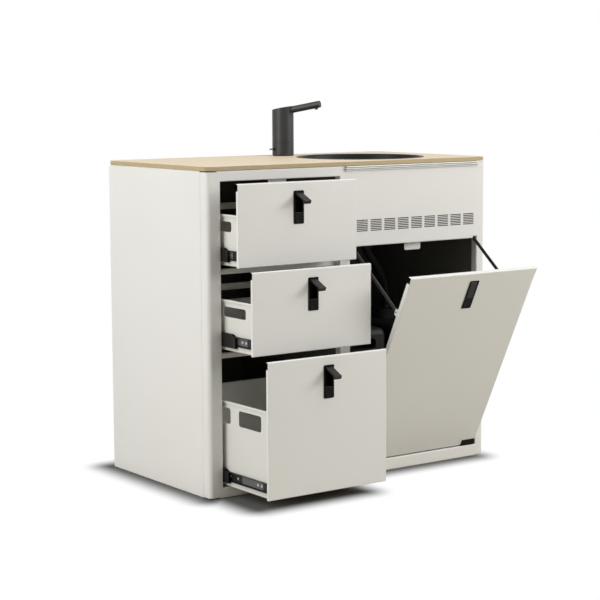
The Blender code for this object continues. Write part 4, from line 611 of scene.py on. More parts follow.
def plies(tree):
    """Layers across the board's thickness, mixed half and half with fibres."""
    value = add(tree, "ShaderNodeSeparateXYZ", {}, {
        0: add(tree, "ShaderNodeTexCoord").outputs["Object"]}).outputs[2]
    for operation, number in (("PINGPONG", PLY), ("DIVIDE", PLY), ("MULTIPLY", 0.5)):
        value = add(tree, "ShaderNodeMath", {"operation": operation}, {0: value, 1: number})
    return add(tree, "ShaderNodeMath", {"operation": "MULTIPLY_ADD"}, {
        0: noise(tree, 6), 1: 0.5, 2: value})


def birch():
    """Pale birch, planed and oiled: streaks and pores show, with a low sheen."""
    return finish("oiled_birch_board", "pale_wood_board", {"IOR": 1.45, "Specular IOR Level": 0.3},
                  (wood_figure, "#F1E2CB", "#D9C6A6"), (PORES, 0.46, 0.62), (PORES, 0.10, 0.0002))


def birch_edge_and_shade():
    """Cut edge of the birch with its plies, drawn darker than the top as painted shade on the upright
    faces.
    """
    return finish("birch_plywood_edge_and_shade", "pale_wood_board", {"IOR": 1.45, "Roughness": 0.6},
                  (plies, "#CDBC99", "#A8926B"))


def build_worktop():
    """Board with both openings; its upright faces take the edge material."""
    outline = rectangle(-BOARD_OVER, WIDTH + BOARD_OVER, -BOARD_OVER, DEPTH + BOARD_OVER, BOARD_ROUND)
    board = prism("worktop_board", outline, 2, HEIGHT - BOARD_THICK, HEIGHT)
    for x, y, radius, spans in ((SINK_X, SINK_Y, SINK_HOLE, 96), (TAP_X, TAP_Y, TAP_HOLE, 32)):
        combined(board, prism("hole", circle(x, y, radius, spans), 2, HEIGHT - 2 * BOARD_THICK,
                              HEIGHT + BOARD_THICK))
    dress(soften(board, BOARD_SOFT, 3), birch(), "cabinet", "worktop")
    # The upright faces take the darker edge material: painted shade.
    board.data.materials.append(birch_edge_and_shade()[0])
    normals = np.empty(len(board.data.polygons) * 3, np.float32)
    board.data.polygons.foreach_get("normal", normals)
    upright = np.abs(normals.reshape(-1, 3)[:, 2]) < 0.5
    board.data.polygons.foreach_set("material_index", upright.astype(np.int32))


build_worktop()

# Table rail: anodised aluminium profile, 13 mm high, screwed on under the worktop. A groove
# along its front takes the hooks of a table top; its foot is set back below the lower lip.
RAIL_LEFT, RAIL_RIGHT, RAIL_FRONT, RAIL_BACK, RAIL_WALL = 0.4590, 0.9500, -0.0085, -0.0003, 0.0014
RAIL_TOP, RAIL_LOW, RAIL_FOOT = 0.8870, 0.8738, -0.0030
GROOVE_LOW, GROOVE_TOP, GROOVE_LIP, LOWER_LIP = 0.8813, 0.8839, 0.0015, 0.8785
FOOT_ROUND, LIP_ROUND, GROOVE_ROUND, TOP_ROUND = 0.0004, 0.0010, 0.0006, 0.0014


def anodised():
    """Satin anodised aluminium: fine lines along the profile from rolling and brushing."""
    lines = (30, 3.0, (0.05, 30.0, 30.0))
    return finish("anodised_aluminium", "anodised_rail", {"Metallic": 1.0},
                  (lines, "#A3A49F", "#B1B2AD"), (lines, 0.34, 0.46))


def build_table_rail():
    """Profile (y, z) with a lipped groove and a set-back foot, carried along X."""
    front, inner, deep = RAIL_FRONT, RAIL_FRONT + RAIL_WALL, RAIL_BACK - RAIL_WALL
    low, high = GROOVE_LOW - GROOVE_LIP, GROOVE_TOP + GROOVE_LIP
    outline = rounded(
        (RAIL_BACK, RAIL_LOW, 0), (RAIL_FOOT, RAIL_LOW, FOOT_ROUND),
        (RAIL_FOOT, LOWER_LIP - RAIL_WALL, FOOT_ROUND), (front, LOWER_LIP, LIP_ROUND),
        (front, GROOVE_LOW, GROOVE_ROUND), (inner, GROOVE_LOW, 0), (inner, low, 0), (deep, low, 0),
        (deep, high, 0), (inner, high, 0), (inner, GROOVE_TOP, 0), (front, GROOVE_TOP, GROOVE_ROUND),
        (front, RAIL_TOP, TOP_ROUND), (RAIL_BACK, RAIL_TOP, 0))
    rail = prism("table_rail_profile", outline, 0, RAIL_LEFT, RAIL_RIGHT)
    dress(soften(rail, FINE_EDGE, 1, 60), anodised(), "cabinet", "table_rail")


build_table_rail()

# Inner walls and floor: matt black sheet. Two walls stand beside the drawers and carry the
# fixed members of their runners, two line the bay behind the flap, and one closes the back.
# Arched slots in the bay's walls guide the stays' pins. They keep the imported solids' shapes.
BLACK_SHEETS = (("wall_left_of_drawers", "runner_panel_left"), ("wall_of_drawers_and_bay", "partition"),
                ("wall_right_of_bay", "bay_liner_right"), ("wall_at_back", "rear_liner"),
                ("floor_sheet", "floor_panel"))
IN_PLACE = Matrix.Identity(4)


def recast(name, node, soft=CUT_EDGE):
    """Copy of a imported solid: triangles merged, flats made whole again, edges softened."""
    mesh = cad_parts[node].data.copy()
    mesh.name = name
    bm = bmesh.new()
    bm.from_mesh(mesh)
    bmesh.ops.remove_doubles(bm, verts=bm.verts, dist=NEAR)
    bmesh.ops.dissolve_limit(bm, angle_limit=math.radians(0.5), verts=bm.verts, edges=bm.edges)
    bm.to_mesh(mesh)
    bm.free()
    piece = linked(name, mesh)
    return soften(piece, soft, 1, 50) if soft else piece


# Matt black powder coat, drawn as a dark grey lighter than black: painted light that lifts the shaded
# inside of the cabinet.
black_coat_with_painted_light = powder_coat("powder_coat_matt_black", "black_panel_sheet", "#67665F", "#605F58", 0.55)
for name, node in BLACK_SHEETS:
    dress(recast(name, node), black_coat_with_painted_light, "cabinet", node, where=IN_PLACE)

# Drawer fronts: pans of 1.5 mm sheet in the frame's white. The top edge is bent over a broad
# radius into a channel; the side flanges stop 20 mm below it, so that the channel's ends are
# open. A cut-out takes the latch.
PULLS = (0.0794, 0.1446, 0.2128)
FRONT_LEFT, FRONT_RIGHT = 0.046, 0.4385
FRONT_TOPS, FRONT_LOWS = (0.8565, 0.6279, 0.3993), (0.6332, 0.4046, 0.0315)
FRONT_SHEET, FRONT_FLANGE, FRONT_LIP, CORNER_OPEN, LIP_IN = 0.0015, 0.0085, 0.018, 0.020, 0.010
TOP_BEND, SIDE_BEND = 0.0036, 0.0022
LATCH_DROP, LATCH_HIGH, LATCH_WIDE, CUP_BORDER = 0.0245, 0.090, 0.034, 0.002


def folded_front(left, right, bottom, top, flange, latch_x, notch=None):
    """Skin of a front: the flat with its top channel, and the lip round its other edges.

    The flat's sides reach full width only above the flanges' ends, and the channel's lip stops
    short of them. notch is the width and height that are cut from both lower corners."""
    inner_left, inner_right, low = left + SIDE_BEND, right - SIDE_BEND, bottom + SIDE_BEND
    side_top = top - CORNER_OPEN
    half = LATCH_WIDE / 2 - CUP_BORDER + GAP
    hole = (latch_x - half, latch_x + half, top - LATCH_DROP - LATCH_HIGH + CUP_BORDER - GAP,
            top - LATCH_DROP - CUP_BORDER + GAP)
    run = [(inner_right, side_top), (inner_right, low), (inner_left, low), (inner_left, side_top)]
    steps_x, steps_z = [], []
    if notch:
        wide, high = notch[0] + SIDE_BEND, notch[1] + SIDE_BEND
        steps_x, steps_z = [left + wide, right - wide], [bottom + high]
        run[1:3] = [(inner_right, steps_z[0]), (steps_x[1], steps_z[0]), (steps_x[1], low),
                    (steps_x[0], low), (steps_x[0], steps_z[0]), (inner_left, steps_z[0])]
    lip = (left + LIP_IN, right - LIP_IN)
    s = level(left, inner_left, inner_right, right, hole[0], hole[1], *lip, *steps_x)
    t = strip([(top - TOP_BEND - low, 90, TOP_BEND), (flange - TOP_BEND - SIDE_BEND, 90, SIDE_BEND),
               (FRONT_LIP - SIDE_BEND, 0, 0)], 0, (low, 0), 0)
    t = scored(t, [side_top, hole[2], hole[3], *steps_z])

    def keep(a, b):
        kept = within(a, inner_left, inner_right) | (b > side_top)
        kept &= within(a, *lip) | (b < t[0][-2])
        kept &= ~(within(a, hole[0], hole[1]) & within(b, hole[2], hole[3]))
        if notch:
            kept &= within(a, *steps_x) | (b > steps_z[0])
        return kept

    return joined(blank(s, t, keep), folded_edge(s, t, run, SIDE_BEND, flange, False))


for number, (pull, bottom, top) in enumerate(zip(PULLS, FRONT_LOWS, FRONT_TOPS), 1):
    shape = folded_front(FRONT_LEFT, FRONT_RIGHT, bottom, top, FRONT_FLANGE, DRAWER_MIDDLE)
    pan = sheet_metal(f"drawer_pan_{number}", shape, FRONT_SHEET)
    dress(pan, white_coat, f"drawer_{number}", f"drawer_front_{number}", where=placed(y=-pull))

# Drawer boxes: trays of 1.5 mm sheet, riveted to the fronts. Their rims are rolled outwards
# and down on three sides. Two rounded hand slots are cut in each side, and one in the back of
# the shallow ones.
BOX_LEFT, BOX_RIGHT, BOX_FRONT, BOX_BACK = 0.0541, 0.4304, 0.0018, 0.4518
BOX_SHEET, BOX_RISE, BOX_CORNER, BOX_BEND = 0.0015, 0.002, 0.0025, 0.0025
BOX_DROPS, HAND_HIGH = (0.0839, 0.0839, 0.1313), (0.0275, 0.0275, 0.0430)
HEM_GAP, HEM_HIGH = 0.0026, 0.0058
HAND_STARTS, HAND_LONG, HAND_DROP, HAND_ROUND = (0.045, 0.191), 0.106, 0.019, 0.007
BACK_SLOT_IN, CUT_OVER = 0.055, 0.005
NOTCH_ROOM, NOTCH_FRONT, NOTCH_DEEP = 0.0025, -0.001, 0.006


def rings(core, normal, distances, heights):
    """Rings at the given heights: the core's points plus a distance along the normals."""
    flat = core + np.array(distances)[:, None, None] * normal
    high = np.broadcast_to(np.array(heights)[:, None], flat.shape[:2])
    return np.concatenate([flat, high[..., None]], axis=2)


def box_skin(bottom, top):
    """Outer skin of a tray: rings of one rounded rectangle, out along its floor and up.

    The last rings carry the rolled hem: a half turn and a fall, on all sides but the front."""
    outline = rectangle(BOX_LEFT, BOX_RIGHT, BOX_FRONT, BOX_BACK, BOX_CORNER)
    inner = (BOX_LEFT + BOX_CORNER, BOX_RIGHT - BOX_CORNER, BOX_FRONT + BOX_CORNER,
             BOX_BACK - BOX_CORNER)
    core = np.clip(outline, inner[::2], inner[1::2])
    normal = (outline - core) / BOX_CORNER
    crest = top - HEM_GAP / 2 - BOX_SHEET
    bend = np.linspace(0, math.pi / 2, BEND_SPANS + 1)
    body = ring_skin(rings(core, normal, [0, *(BOX_BEND * np.sin(bend)), BOX_BEND],
                           [bottom, *(bottom + BOX_BEND * (1 - np.cos(bend))), crest]))
    floor = np.column_stack([rectangle(*inner)[::-1], np.full(4, bottom)]), np.arange(4)[None]
    core, normal, outline = (np.roll(values, -1, axis=0) for values in (core, normal, outline))
    hemmed = outline[:, 1] > inner[2] - NEAR
    roll = np.linspace(0, math.pi, BEND_SPANS + 1)
    hem = ring_skin(rings(core[hemmed], normal[hemmed],
                          [*(BOX_CORNER + HEM_GAP / 2 * (1 - np.cos(roll))), BOX_CORNER + HEM_GAP],
                          [*(crest + HEM_GAP / 2 * np.sin(roll)), top - HEM_HIGH]), False)
    return joined(body, floor, hem)


def build_drawer_box(number, pull, front_low, front_top, drop, high):
    """Tray, then the hand slots through both sides and the notch for the latch's cup."""
    top = front_top - drop
    box = sheet_metal(f"drawer_tray_{number}", box_skin(front_low + BOX_RISE, top), BOX_SHEET, 0)
    slot = (top - HAND_DROP - high, top - HAND_DROP, HAND_ROUND)
    for start in HAND_STARTS:
        combined(box, prism("hand_slot", rectangle(start, start + HAND_LONG, *slot), 0,
                            BOX_LEFT - CUT_OVER, BOX_RIGHT + CUT_OVER))
    if number < 3:
        outline = rectangle(BOX_LEFT + BACK_SLOT_IN, BOX_RIGHT - BACK_SLOT_IN, *slot)
        combined(box, prism("back_slot", outline, 1, BOX_BACK - CUT_OVER, BOX_BACK + CUT_OVER))
    low = front_top - LATCH_DROP - LATCH_HIGH
    if top > low:
        half = LATCH_WIDE / 2 - CUP_BORDER + NOTCH_ROOM
        outline = rectangle(DRAWER_MIDDLE - half, DRAWER_MIDDLE + half, low + CUP_BORDER - NOTCH_ROOM,
                            front_top)
        combined(box, prism("cup_notch", outline, 1, NOTCH_FRONT, BOX_FRONT + NOTCH_DEEP))
    dress(soften(box, CUT_EDGE, 1, 60), tray_coat_painted_shade, f"drawer_{number}", f"drawer_box_{number}",
          where=placed(y=-pull))


# The same powder coat as outside, drawn slightly greyer: painted shade that darkens the trays' sides and
# insides.
tray_coat_painted_shade = powder_coat("powder_coat_tray_painted_shade", "white_powder_coat", "#E5E4DE", "#E1E0DA", 0.42)
for number, sizes in enumerate(zip(PULLS, FRONT_LOWS, FRONT_TOPS, BOX_DROPS, HAND_HIGH), 1):
    build_drawer_box(number, *sizes)

# Runners: ball-bearing slides of black zinc-plated steel. The inner members are fixed to the
# boxes with countersunk screws of bright steel, through a web that is left satin; the middle
# ones run between them and the walls' fixed members at half their speed, chamfered in front.
RUNNER_FACES = (("left", 0.0411, 1), ("right", 0.4434, -1))
RUNNER_RISE, RUNNER_SETBACK = 0.0315, 0.0155
WEB_FACE, WEB_STRIP, STRIP_HALF, STRIP_REACH = 0.0115, 0.0003, 0.0098, (0.0195, 0.1185)
STRIP_ROUND, SCREW_EDGE = 0.001, 0.0004
SCREW_PLACES, SCREW_HEAD, SCREW_PROUD = (0.0265, 0.0440, 0.1390, 0.1755), 0.0036, 0.0006
MIDDLE_SETBACKS, MIDDLE_HALF, MIDDLE_OVER = (0.0095, 0.0095, 0.0820), 0.01875, 0.013
NOSE_BACK, NOSE_DOWN, NOSE_UP, NOSE_OVER = 0.030, 0.012, 0.004, 0.010


def plated(name, colour, shade, roughness):
    """Zinc-plated steel, passivated dark: half metallic, with a fine even skin."""
    return powder_coat(name, "dark_zinc_steel", colour, shade, roughness, 1.2, 0.5)


def bright_plated():
    """Screws and bolts: bright zinc-plated steel, drawn lengthwise."""
    lines = (8, 2.0, (8.0, 8.0, 0.3))
    return finish("bright_zinc_plated_steel", "bright_steel", {"Metallic": 1.0},
                  (lines, "#BDBEBC", "#D6D7D4"), (lines, 0.24, 0.36))


def rod_skin(length, radius, edge, spans=48):
    """Closed round rod along X from 0: rings that close in at both ends by an edge radius."""
    bend = np.linspace(0, math.pi / 2, 5)
    inset, lost = edge * (1 - np.cos(bend)), edge * (1 - np.sin(bend))
    along = np.concatenate([[0], inset, length - inset[::-1], [length]])
    wide = np.concatenate([[0], radius - lost, radius - lost[::-1], [0]])
    cos, sin = around(spans)
    return ring_skin(np.stack([np.outer(along, np.ones(spans)), np.outer(wide, cos),
                               np.outer(wide, sin)], axis=2))


def build_runner(number, pull, middle, setback, side, face, way):
    """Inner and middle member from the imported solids, the inner's web and its screws."""
    tail, body, where = f"_{number}_{side}", f"drawer_{number}", placed(y=-pull)
    inner = recast("slide_inner" + tail, "runner_inner" + tail, FINE_EDGE)
    dress(inner, black_zinc, body, "runner_inner" + tail, where=IN_PLACE)
    web = face + way * WEB_FACE
    near, far = (RUNNER_SETBACK + reach for reach in STRIP_REACH)
    outline = rectangle(near, far, middle - STRIP_HALF, middle + STRIP_HALF, STRIP_ROUND)
    dress(prism("slide_web" + tail, outline, 0, web, web - way * WEB_STRIP), satin_zinc, body,
          where=where)
    points, faces = rod_skin(SCREW_PROUD, SCREW_HEAD, SCREW_EDGE, 20)
    start = min(web, web - way * SCREW_PROUD)
    heads = [(points + (start, RUNNER_SETBACK + place, middle), faces) for place in SCREW_PLACES]
    dress(skin("slide_screws" + tail, *joined(*heads)), bright_zinc, body, where=where)
    slide = recast("slide_middle" + tail, "runner_middle" + tail, 0)
    top, front, back = middle + MIDDLE_HALF, setback - NOSE_OVER, setback + NOSE_BACK
    outline = np.array([(front, top + NOSE_OVER), (front, top - NOSE_DOWN),
                        (back, top + NOSE_UP), (back, top + NOSE_OVER)])
    nose = prism("nose", outline, 0, face, face + way * MIDDLE_OVER)
    nose.data.transform(placed(y=-pull / 2))
    dress(soften(combined(slide, nose), FINE_EDGE, 1, 50), black_zinc, f"runner_{number}",
          "runner_middle" + tail, where=IN_PLACE)


black_zinc = plated("black_zinc_plated_steel", "#151514", "#1D1D1C", 0.40)
satin_zinc = plated("satin_zinc_plated_steel", "#5E5F5C", "#6A6B68", 0.45)
bright_zinc = bright_plated()
for number, (pull, low, setback) in enumerate(zip(PULLS, FRONT_LOWS, MIDDLE_SETBACKS), 1):
    for runner_side in RUNNER_FACES:
        build_runner(number, pull, low + RUNNER_RISE, setback, *runner_side)

# Paddle latches: moulded black plastic plate with a recess, a lever with a hooked tip on a pin
# and a push button with a thumb dimple, and a bright steel bolt that closes behind the strike.
PLATE_ROUND, PLATE_PROUD, CUP_DEEP = 0.0035, 0.0015, 0.030
RECESS_WIDE, RECESS_TOP, RECESS_HIGH, RECESS_DEEP = 0.0250, 0.0035, 0.0552, 0.0180
RECESS_ROUND, PLATE_EDGE, FINGER_EDGE = 0.0012, 0.0005, 0.0009
LEVER_WIDE, LEVER_LONG, LEVER_THICK, BARREL = 0.0222, 0.0500, 0.0048, 0.0030
LEVER_DROP, LEVER_HOOK, HOOK_DEEP, LEVER_SWING = 0.0080, 0.0035, 0.0055, math.radians(65)
LEVER_HEEL, LEVER_ROUNDS = 0.002, (0.0012, 0.0022, 0.0014, 0.0012, 0.0025, 0.0015, 0.0012,
                                   0.0028, 0.0010)
BUTTON_WIDE, BUTTON_HIGH, BUTTON_DEEP, BUTTON_DROP = 0.024, 0.026, 0.0085, 0.060
BUTTON_ROUND, BUTTON_ROOM, BUTTON_TRAVEL = 0.0025, 0.0003, 0.0021
DIMPLE_RADIUS, DIMPLE_DEEP, DIMPLE_RISE = 0.016, 0.0012, 0.0070
BOLT_WIDE, BOLT_THICK, BOLT_LONG, BOLT_BEVEL, BOLT_Y = 0.010, 0.004, 0.050, 0.0025, 0.0225
BOLT_DROP, BOLT_TRAVEL, BOLT_ROUND = 0.0215, 0.008, 0.0004
EDGE_DROP, EDGE_HALF, EDGE_WIDE, EDGE_PROUD = 0.0593, 0.0005, 0.0232, 0.0005
FLAP_TILT, HINGE_Y, HINGE_Z, FLAP_TOP = math.radians(25.83), 0.0080, 0.0463, 0.6560
TIPPED = (placed(0, HINGE_Y, HINGE_Z) @ Matrix.Rotation(FLAP_TILT, 4, "X")
          @ Matrix.Translation((0, -HINGE_Y, -HINGE_Z)))


def moulded_black(name, shine, colour, shade):
    """ABS, spark-eroded in the mould: a fine, even grain that keeps the shine low."""
    grain = (0.9,)
    return finish(name, "black_plastic", {"IOR": 1.46, "Specular IOR Level": shine},
                  ((25,), colour, shade), (grain, 0.36, 0.44), (grain, 0.08, 0.0001))


def slab(name, width, low, high, radius, near, far):
    """Upright block: a rounded rectangle about x = 0, carried from near to far in y."""
    return prism(name, rectangle(-width / 2, width / 2, low, high, radius), 1, near, far)


def latch_plate():
    """Plate and cup in one, hollowed for lever, button and bolt."""
    plate = slab("plate", LATCH_WIDE, -LATCH_HIGH, 0, PLATE_ROUND, -PLATE_PROUD, -GAP)
    combined(plate, slab("cup", LATCH_WIDE - 2 * CUP_BORDER, CUP_BORDER - LATCH_HIGH, -CUP_BORDER, 0,
                         -2 * GAP, CUP_DEEP), "UNION")
    combined(plate, slab("recess", RECESS_WIDE, -RECESS_TOP - RECESS_HIGH, -RECESS_TOP, RECESS_ROUND,
                         -CUT_OVER, RECESS_DEEP))
    combined(plate, slab("well", BUTTON_WIDE + 2 * BUTTON_ROOM, -BUTTON_DROP - BUTTON_HIGH - BUTTON_ROOM,
                         BUTTON_ROOM - BUTTON_DROP, BUTTON_ROUND, -CUT_OVER,
                         BUTTON_DEEP + BUTTON_TRAVEL))
    half = BOLT_WIDE / 2 + GAP
    way = rectangle(BOLT_Y - GAP, BOLT_Y + BOLT_THICK + GAP, -BOLT_LONG, CUT_OVER)
    return soften(combined(plate, prism("bolt_way", way, 0, -half, half)), PLATE_EDGE, 2)


def latch_lever():
    """Paddle in side view (y, z) from its pivot, with a hooked tip, carried along X."""
    front = -BARREL - PLATE_PROUD
    back, tip = front + LEVER_THICK, -LEVER_LONG
    corners = ((front, 0), (front, tip), (back + HOOK_DEEP, tip), (back + HOOK_DEEP, tip + LEVER_HOOK),
               (back, tip + 2 * LEVER_HOOK), (back, -BARREL), (BARREL, -BARREL), (BARREL, BARREL),
               (front + LEVER_HEEL, BARREL))
    outline = rounded(*[(*corner, radius) for corner, radius in zip(corners, LEVER_ROUNDS)])
    return soften(prism("lever", outline, 0, -LEVER_WIDE / 2, LEVER_WIDE / 2), FINGER_EDGE, 3)


def latch_button():
    """Rounded block; a sphere cuts the thumb dimple near its lower end."""
    button = slab("button", BUTTON_WIDE, -BUTTON_DROP - BUTTON_HIGH, -BUTTON_DROP, BUTTON_ROUND,
                  -PLATE_PROUD, BUTTON_DEEP - PLATE_PROUD)
    polar = np.linspace(0, math.pi, 25)[:, None]
    cos, sin = around(48)
    ball = DIMPLE_RADIUS * np.stack([np.sin(polar) * cos, np.sin(polar) * sin,
                                     np.broadcast_to(-np.cos(polar), (25, 48))], axis=2)
    ball += (0, -PLATE_PROUD + DIMPLE_DEEP - DIMPLE_RADIUS, -BUTTON_DROP - BUTTON_HIGH + DIMPLE_RISE)
    return soften(combined(button, skin("dimple", *ring_skin(ball))), FINGER_EDGE, 3)


def latch_edge():
    """Fine raised edge between the recess and the button."""
    return soften(slab("edge", EDGE_WIDE, -EDGE_DROP - EDGE_HALF, EDGE_HALF - EDGE_DROP, 0,
                       -PLATE_PROUD - EDGE_PROUD, GAP - PLATE_PROUD), CUT_EDGE, 2)


def latch_bolt():
    """Flat bolt, bevelled behind its tip."""
    outline = rounded((BOLT_THICK, -BOLT_BEVEL, 0), (BOLT_THICK - BOLT_BEVEL, 0, BOLT_ROUND), (0, 0, 0),
                      (0, -BOLT_LONG, 0), (BOLT_THICK, -BOLT_LONG, 0))
    return soften(prism("bolt", outline, 0, -BOLT_WIDE / 2, BOLT_WIDE / 2), CUT_EDGE, 1)


# ABS: dull on the plates and buttons. The levers and the edge across each recess take a lighter, shinier
# copy: a painted sheen for the light they catch from above.
abs_black = moulded_black("abs_plastic_black", 0.09, "#0E0D0A", "#141310")
abs_painted_sheen = moulded_black("abs_plastic_lever", 0.28, "#131210", "#1A1916")
latches = [(str(number), f"drawer_{number}", placed(y=-pull), DRAWER_MIDDLE, top, LEVER_SWING)
           for number, (pull, top) in enumerate(zip(PULLS, FRONT_TOPS), 1)]
latches.append(("flap", "flap", TIPPED, FLAP_LATCH_X, FLAP_TOP, 0.0))
for label, carrier, where, x, front_top, swing in latches:
    at = where @ Matrix.Translation((x, 0, front_top - LATCH_DROP))
    pivot = at @ Matrix.Translation((0, BARREL, -LEVER_DROP)) @ Matrix.Rotation(-swing, 4, "X")
    tip = -BOLT_DROP + LATCH_DROP + (0 if swing else BOLT_TRAVEL)
    bolt_at = at @ Matrix.Translation((0, BOLT_Y, tip))
    # The levers and the edges take the lighter copy of the ABS: painted sheen.
    for kind, make, coat, place in (
            ("housing", latch_plate, abs_black, at), ("lever", latch_lever, abs_painted_sheen, pivot),
            ("button", latch_button, abs_black, at), ("bolt", latch_bolt, bright_zinc, bolt_at),
            ("edge", latch_edge, abs_painted_sheen, at)):
        piece = make()
        piece.name = f"paddle_latch_{kind}_{label}"
        body = carrier if kind in ("housing", "edge") else f"{kind}_{label}"
        nodes = [] if kind == "edge" else [f"latch_{kind}_{label}"]
        dress(piece, coat, body, *nodes, where=place)

# Tilt flap: a pan like the drawer fronts, in the same sheet and coat, with its lower corners
# notched round the hinges. An ear on each side flange carries a stay on a short steel pin.
FLAP_LEFT, FLAP_RIGHT, FLAP_LOW, FLAP_FLANGE = 0.4832, 0.9465, 0.0403, 0.0125
FLAP_NOTCH = (0.052, 0.0170)
EAR_FRONT, EAR_BACK, EAR_HALF, EAR_ROUND, EAR_SHEET = 0.0035, 0.0230, 0.010, 0.004, 0.0012
STAY_OUT, STAY_UP, PIN_RADIUS, EAR_PIN, RIVET_EDGE = 0.0100, 0.4924, 0.0028, 0.0072, 0.0004
EDGES = (("left", 1, FLAP_LEFT), ("right", -1, FLAP_RIGHT))


def build_flap():
    """The pan and its two ears, drawn shut and tipped about the hinge."""
    shape = folded_front(FLAP_LEFT, FLAP_RIGHT, FLAP_LOW, FLAP_TOP, FLAP_FLANGE, FLAP_LATCH_X, FLAP_NOTCH)
    pan = sheet_metal("flap_pan", shape, FRONT_SHEET)
    dress(pan, white_coat, "flap", "flap_panel", where=TIPPED)
    y, z = HINGE_Y + STAY_OUT, HINGE_Z + STAY_UP
    outline = rounded((EAR_FRONT, z - EAR_HALF, 0), (EAR_BACK, z - EAR_HALF, EAR_ROUND),
                      (EAR_BACK, z + EAR_HALF, EAR_ROUND), (EAR_FRONT, z + EAR_HALF, 0))
    for side, way, edge in EDGES:
        near = edge + way * GAP
        ear = prism("stay_ear_" + side, outline, 0, near, near + way * EAR_SHEET)
        dress(soften(ear, FINE_EDGE, 1), white_coat, "flap", where=TIPPED)
        rivet = prism("stay_rivet_" + side, circle(y, z, PIN_RADIUS, 24), 0, near, edge + way * EAR_PIN)
        dress(soften(rivet, RIVET_EDGE, 2), black_zinc, "flap", where=TIPPED)


build_flap()

# Stays and hinges: the stays are flat arms of grey zinc-plated steel, 3 mm thick, each with a
# pin that slides in its wall's slot. The hinges are moulded black blocks on the sill.
STAY_WIDE, STAY_THICK, STAY_PLACE, STAY_LONG = 0.0100, 0.003, 0.0042, 0.29097
STAY_END_Y, STAY_END_Z, STAY_TURN = -0.19754, 0.49386, math.radians(39.1837)
BAY_LEFT, BAY_RIGHT, PIN_REACH, ARM_EDGE = 0.4772, 0.9495, 0.003, 0.0005
HINGE_WIDE, HINGE_LOW, HINGE_HIGH, CHAMFER = 0.050, 0.0348, 0.0185, 0.006
HINGE_FACE, HINGE_DEEP, HINGE_EDGE = 0.0008, 0.0155, 0.0006
HINGE_PIN, HINGE_PIN_IN, HINGE_PIN_OUT = 0.0025, 0.001, 0.007


def build_stays_and_hinges():
    """Arms drawn lying along Y from the ear's pin, then turned up to the wall's slot."""
    half, top = STAY_WIDE / 2, HINGE_LOW + HINGE_HIGH
    for (side, way, edge), wall in zip(EDGES, (BAY_LEFT, BAY_RIGHT)):
        x = edge + way * STAY_PLACE
        arm = prism("stay_arm_" + side, rectangle(-half, STAY_LONG + half, -half, half, half - GAP / 2),
                    0, -STAY_THICK / 2, STAY_THICK / 2)
        combined(arm, prism("eye", circle(0, 0, PIN_RADIUS + GAP, 24), 0,
                            -2 * CUT_OVER, 2 * CUT_OVER))
        reach = -way * (abs(x - wall) + PIN_REACH)
        combined(arm, prism("pin", circle(STAY_LONG, 0, PIN_RADIUS, 24), 0, 0, reach), "UNION")
        dress(soften(arm, ARM_EDGE, 2), grey_zinc, "stay_" + side, "stay_" + side,
              where=placed(x, STAY_END_Y, STAY_END_Z) @ Matrix.Rotation(STAY_TURN, 4, "X"))
        inner = edge + way * HINGE_WIDE
        outline = rounded((edge, HINGE_LOW, 0), (inner, HINGE_LOW, 0), (inner, top, CHAMFER),
                          (edge, top, 0))
        block = prism("hinge_block_" + side, outline, 1, HINGE_FACE, HINGE_FACE + HINGE_DEEP)
        combined(block, prism("pin", circle(HINGE_Y, HINGE_Z, HINGE_PIN, 24), 0, inner - way * HINGE_PIN_IN,
                              inner + way * HINGE_PIN_OUT), "UNION")
        dress(soften(block, HINGE_EDGE, 2), abs_black, "cabinet", "flap_hinge_" + side)


grey_zinc = plated("grey_zinc_plated_steel", "#3A3A37", "#434340", 0.45)
build_stays_and_hinges()

# Sink: round bowl, drawn from sheet and coated matt black, dropped into the worktop on its rim.
# Its floor falls to a steel waste fitting with a nut and a tail below.
RIM_TOP, RIM_OUT, RIM_EDGE, RIM_ROUND = 0.9017, 0.189, 0.0005, 0.001
NECK, NECK_LOW = 0.179, 0.896
SHOULDER, SHOULDER_TOP, SHOULDER_ROUND = 0.1775, 0.8985, 0.002
BOWL_FOOT, BOWL_LOW, BOWL_ROUND = 0.155, 0.775, 0.025
BOWL_FOOT_OUT, BOWL_LOW_OUT, BOWL_ROUND_OUT = 0.1573, 0.7731, 0.027
DRAIN, DRAIN_TOP, DRAIN_LOW = 0.022, 0.769, 0.767
WASTE_BORE, WASTE_DISH, DISH_EDGE, DISH_OUT, DISH_LOW = 0.008, 0.020, 0.031, 0.034, 0.7702
DISH_EDGE_TOP, WASTE_NECK, WASTE_NECK_TOP, WASTE_SEAT = 0.772, 0.0217, 0.7696, 0.7667
WASTE_NUT, WASTE_NUT_LOW, WASTE_TAIL, WASTE_TAIL_LOW, WASTE_ROUND = 0.030, 0.757, 0.016, 0.722, 0.001


def coated_metal(name, shine):
    """Matt black coating on metal: fine texture, broad soft shine."""
    grain = (1.1,)
    return finish(name, "black_coated_metal", {"IOR": 1.5, "Specular IOR Level": shine},
                  ((60,), "#171717", "#1D1D1D"), (grain, 0.40, 0.50), (grain, 0.05, 0.0001))


def revolved(name, outline, x, y, spans=64):
    """Closed outline of (radius, height), turned about an upright axis."""
    cos, sin = around(spans)
    radius, height = np.append(outline, outline[:1], axis=0).T
    rings = np.stack([x + np.outer(radius, cos), y + np.outer(radius, sin),
                      np.outer(height, np.ones(spans))], axis=2)
    return skin(name, *ring_skin(rings), outward=True)


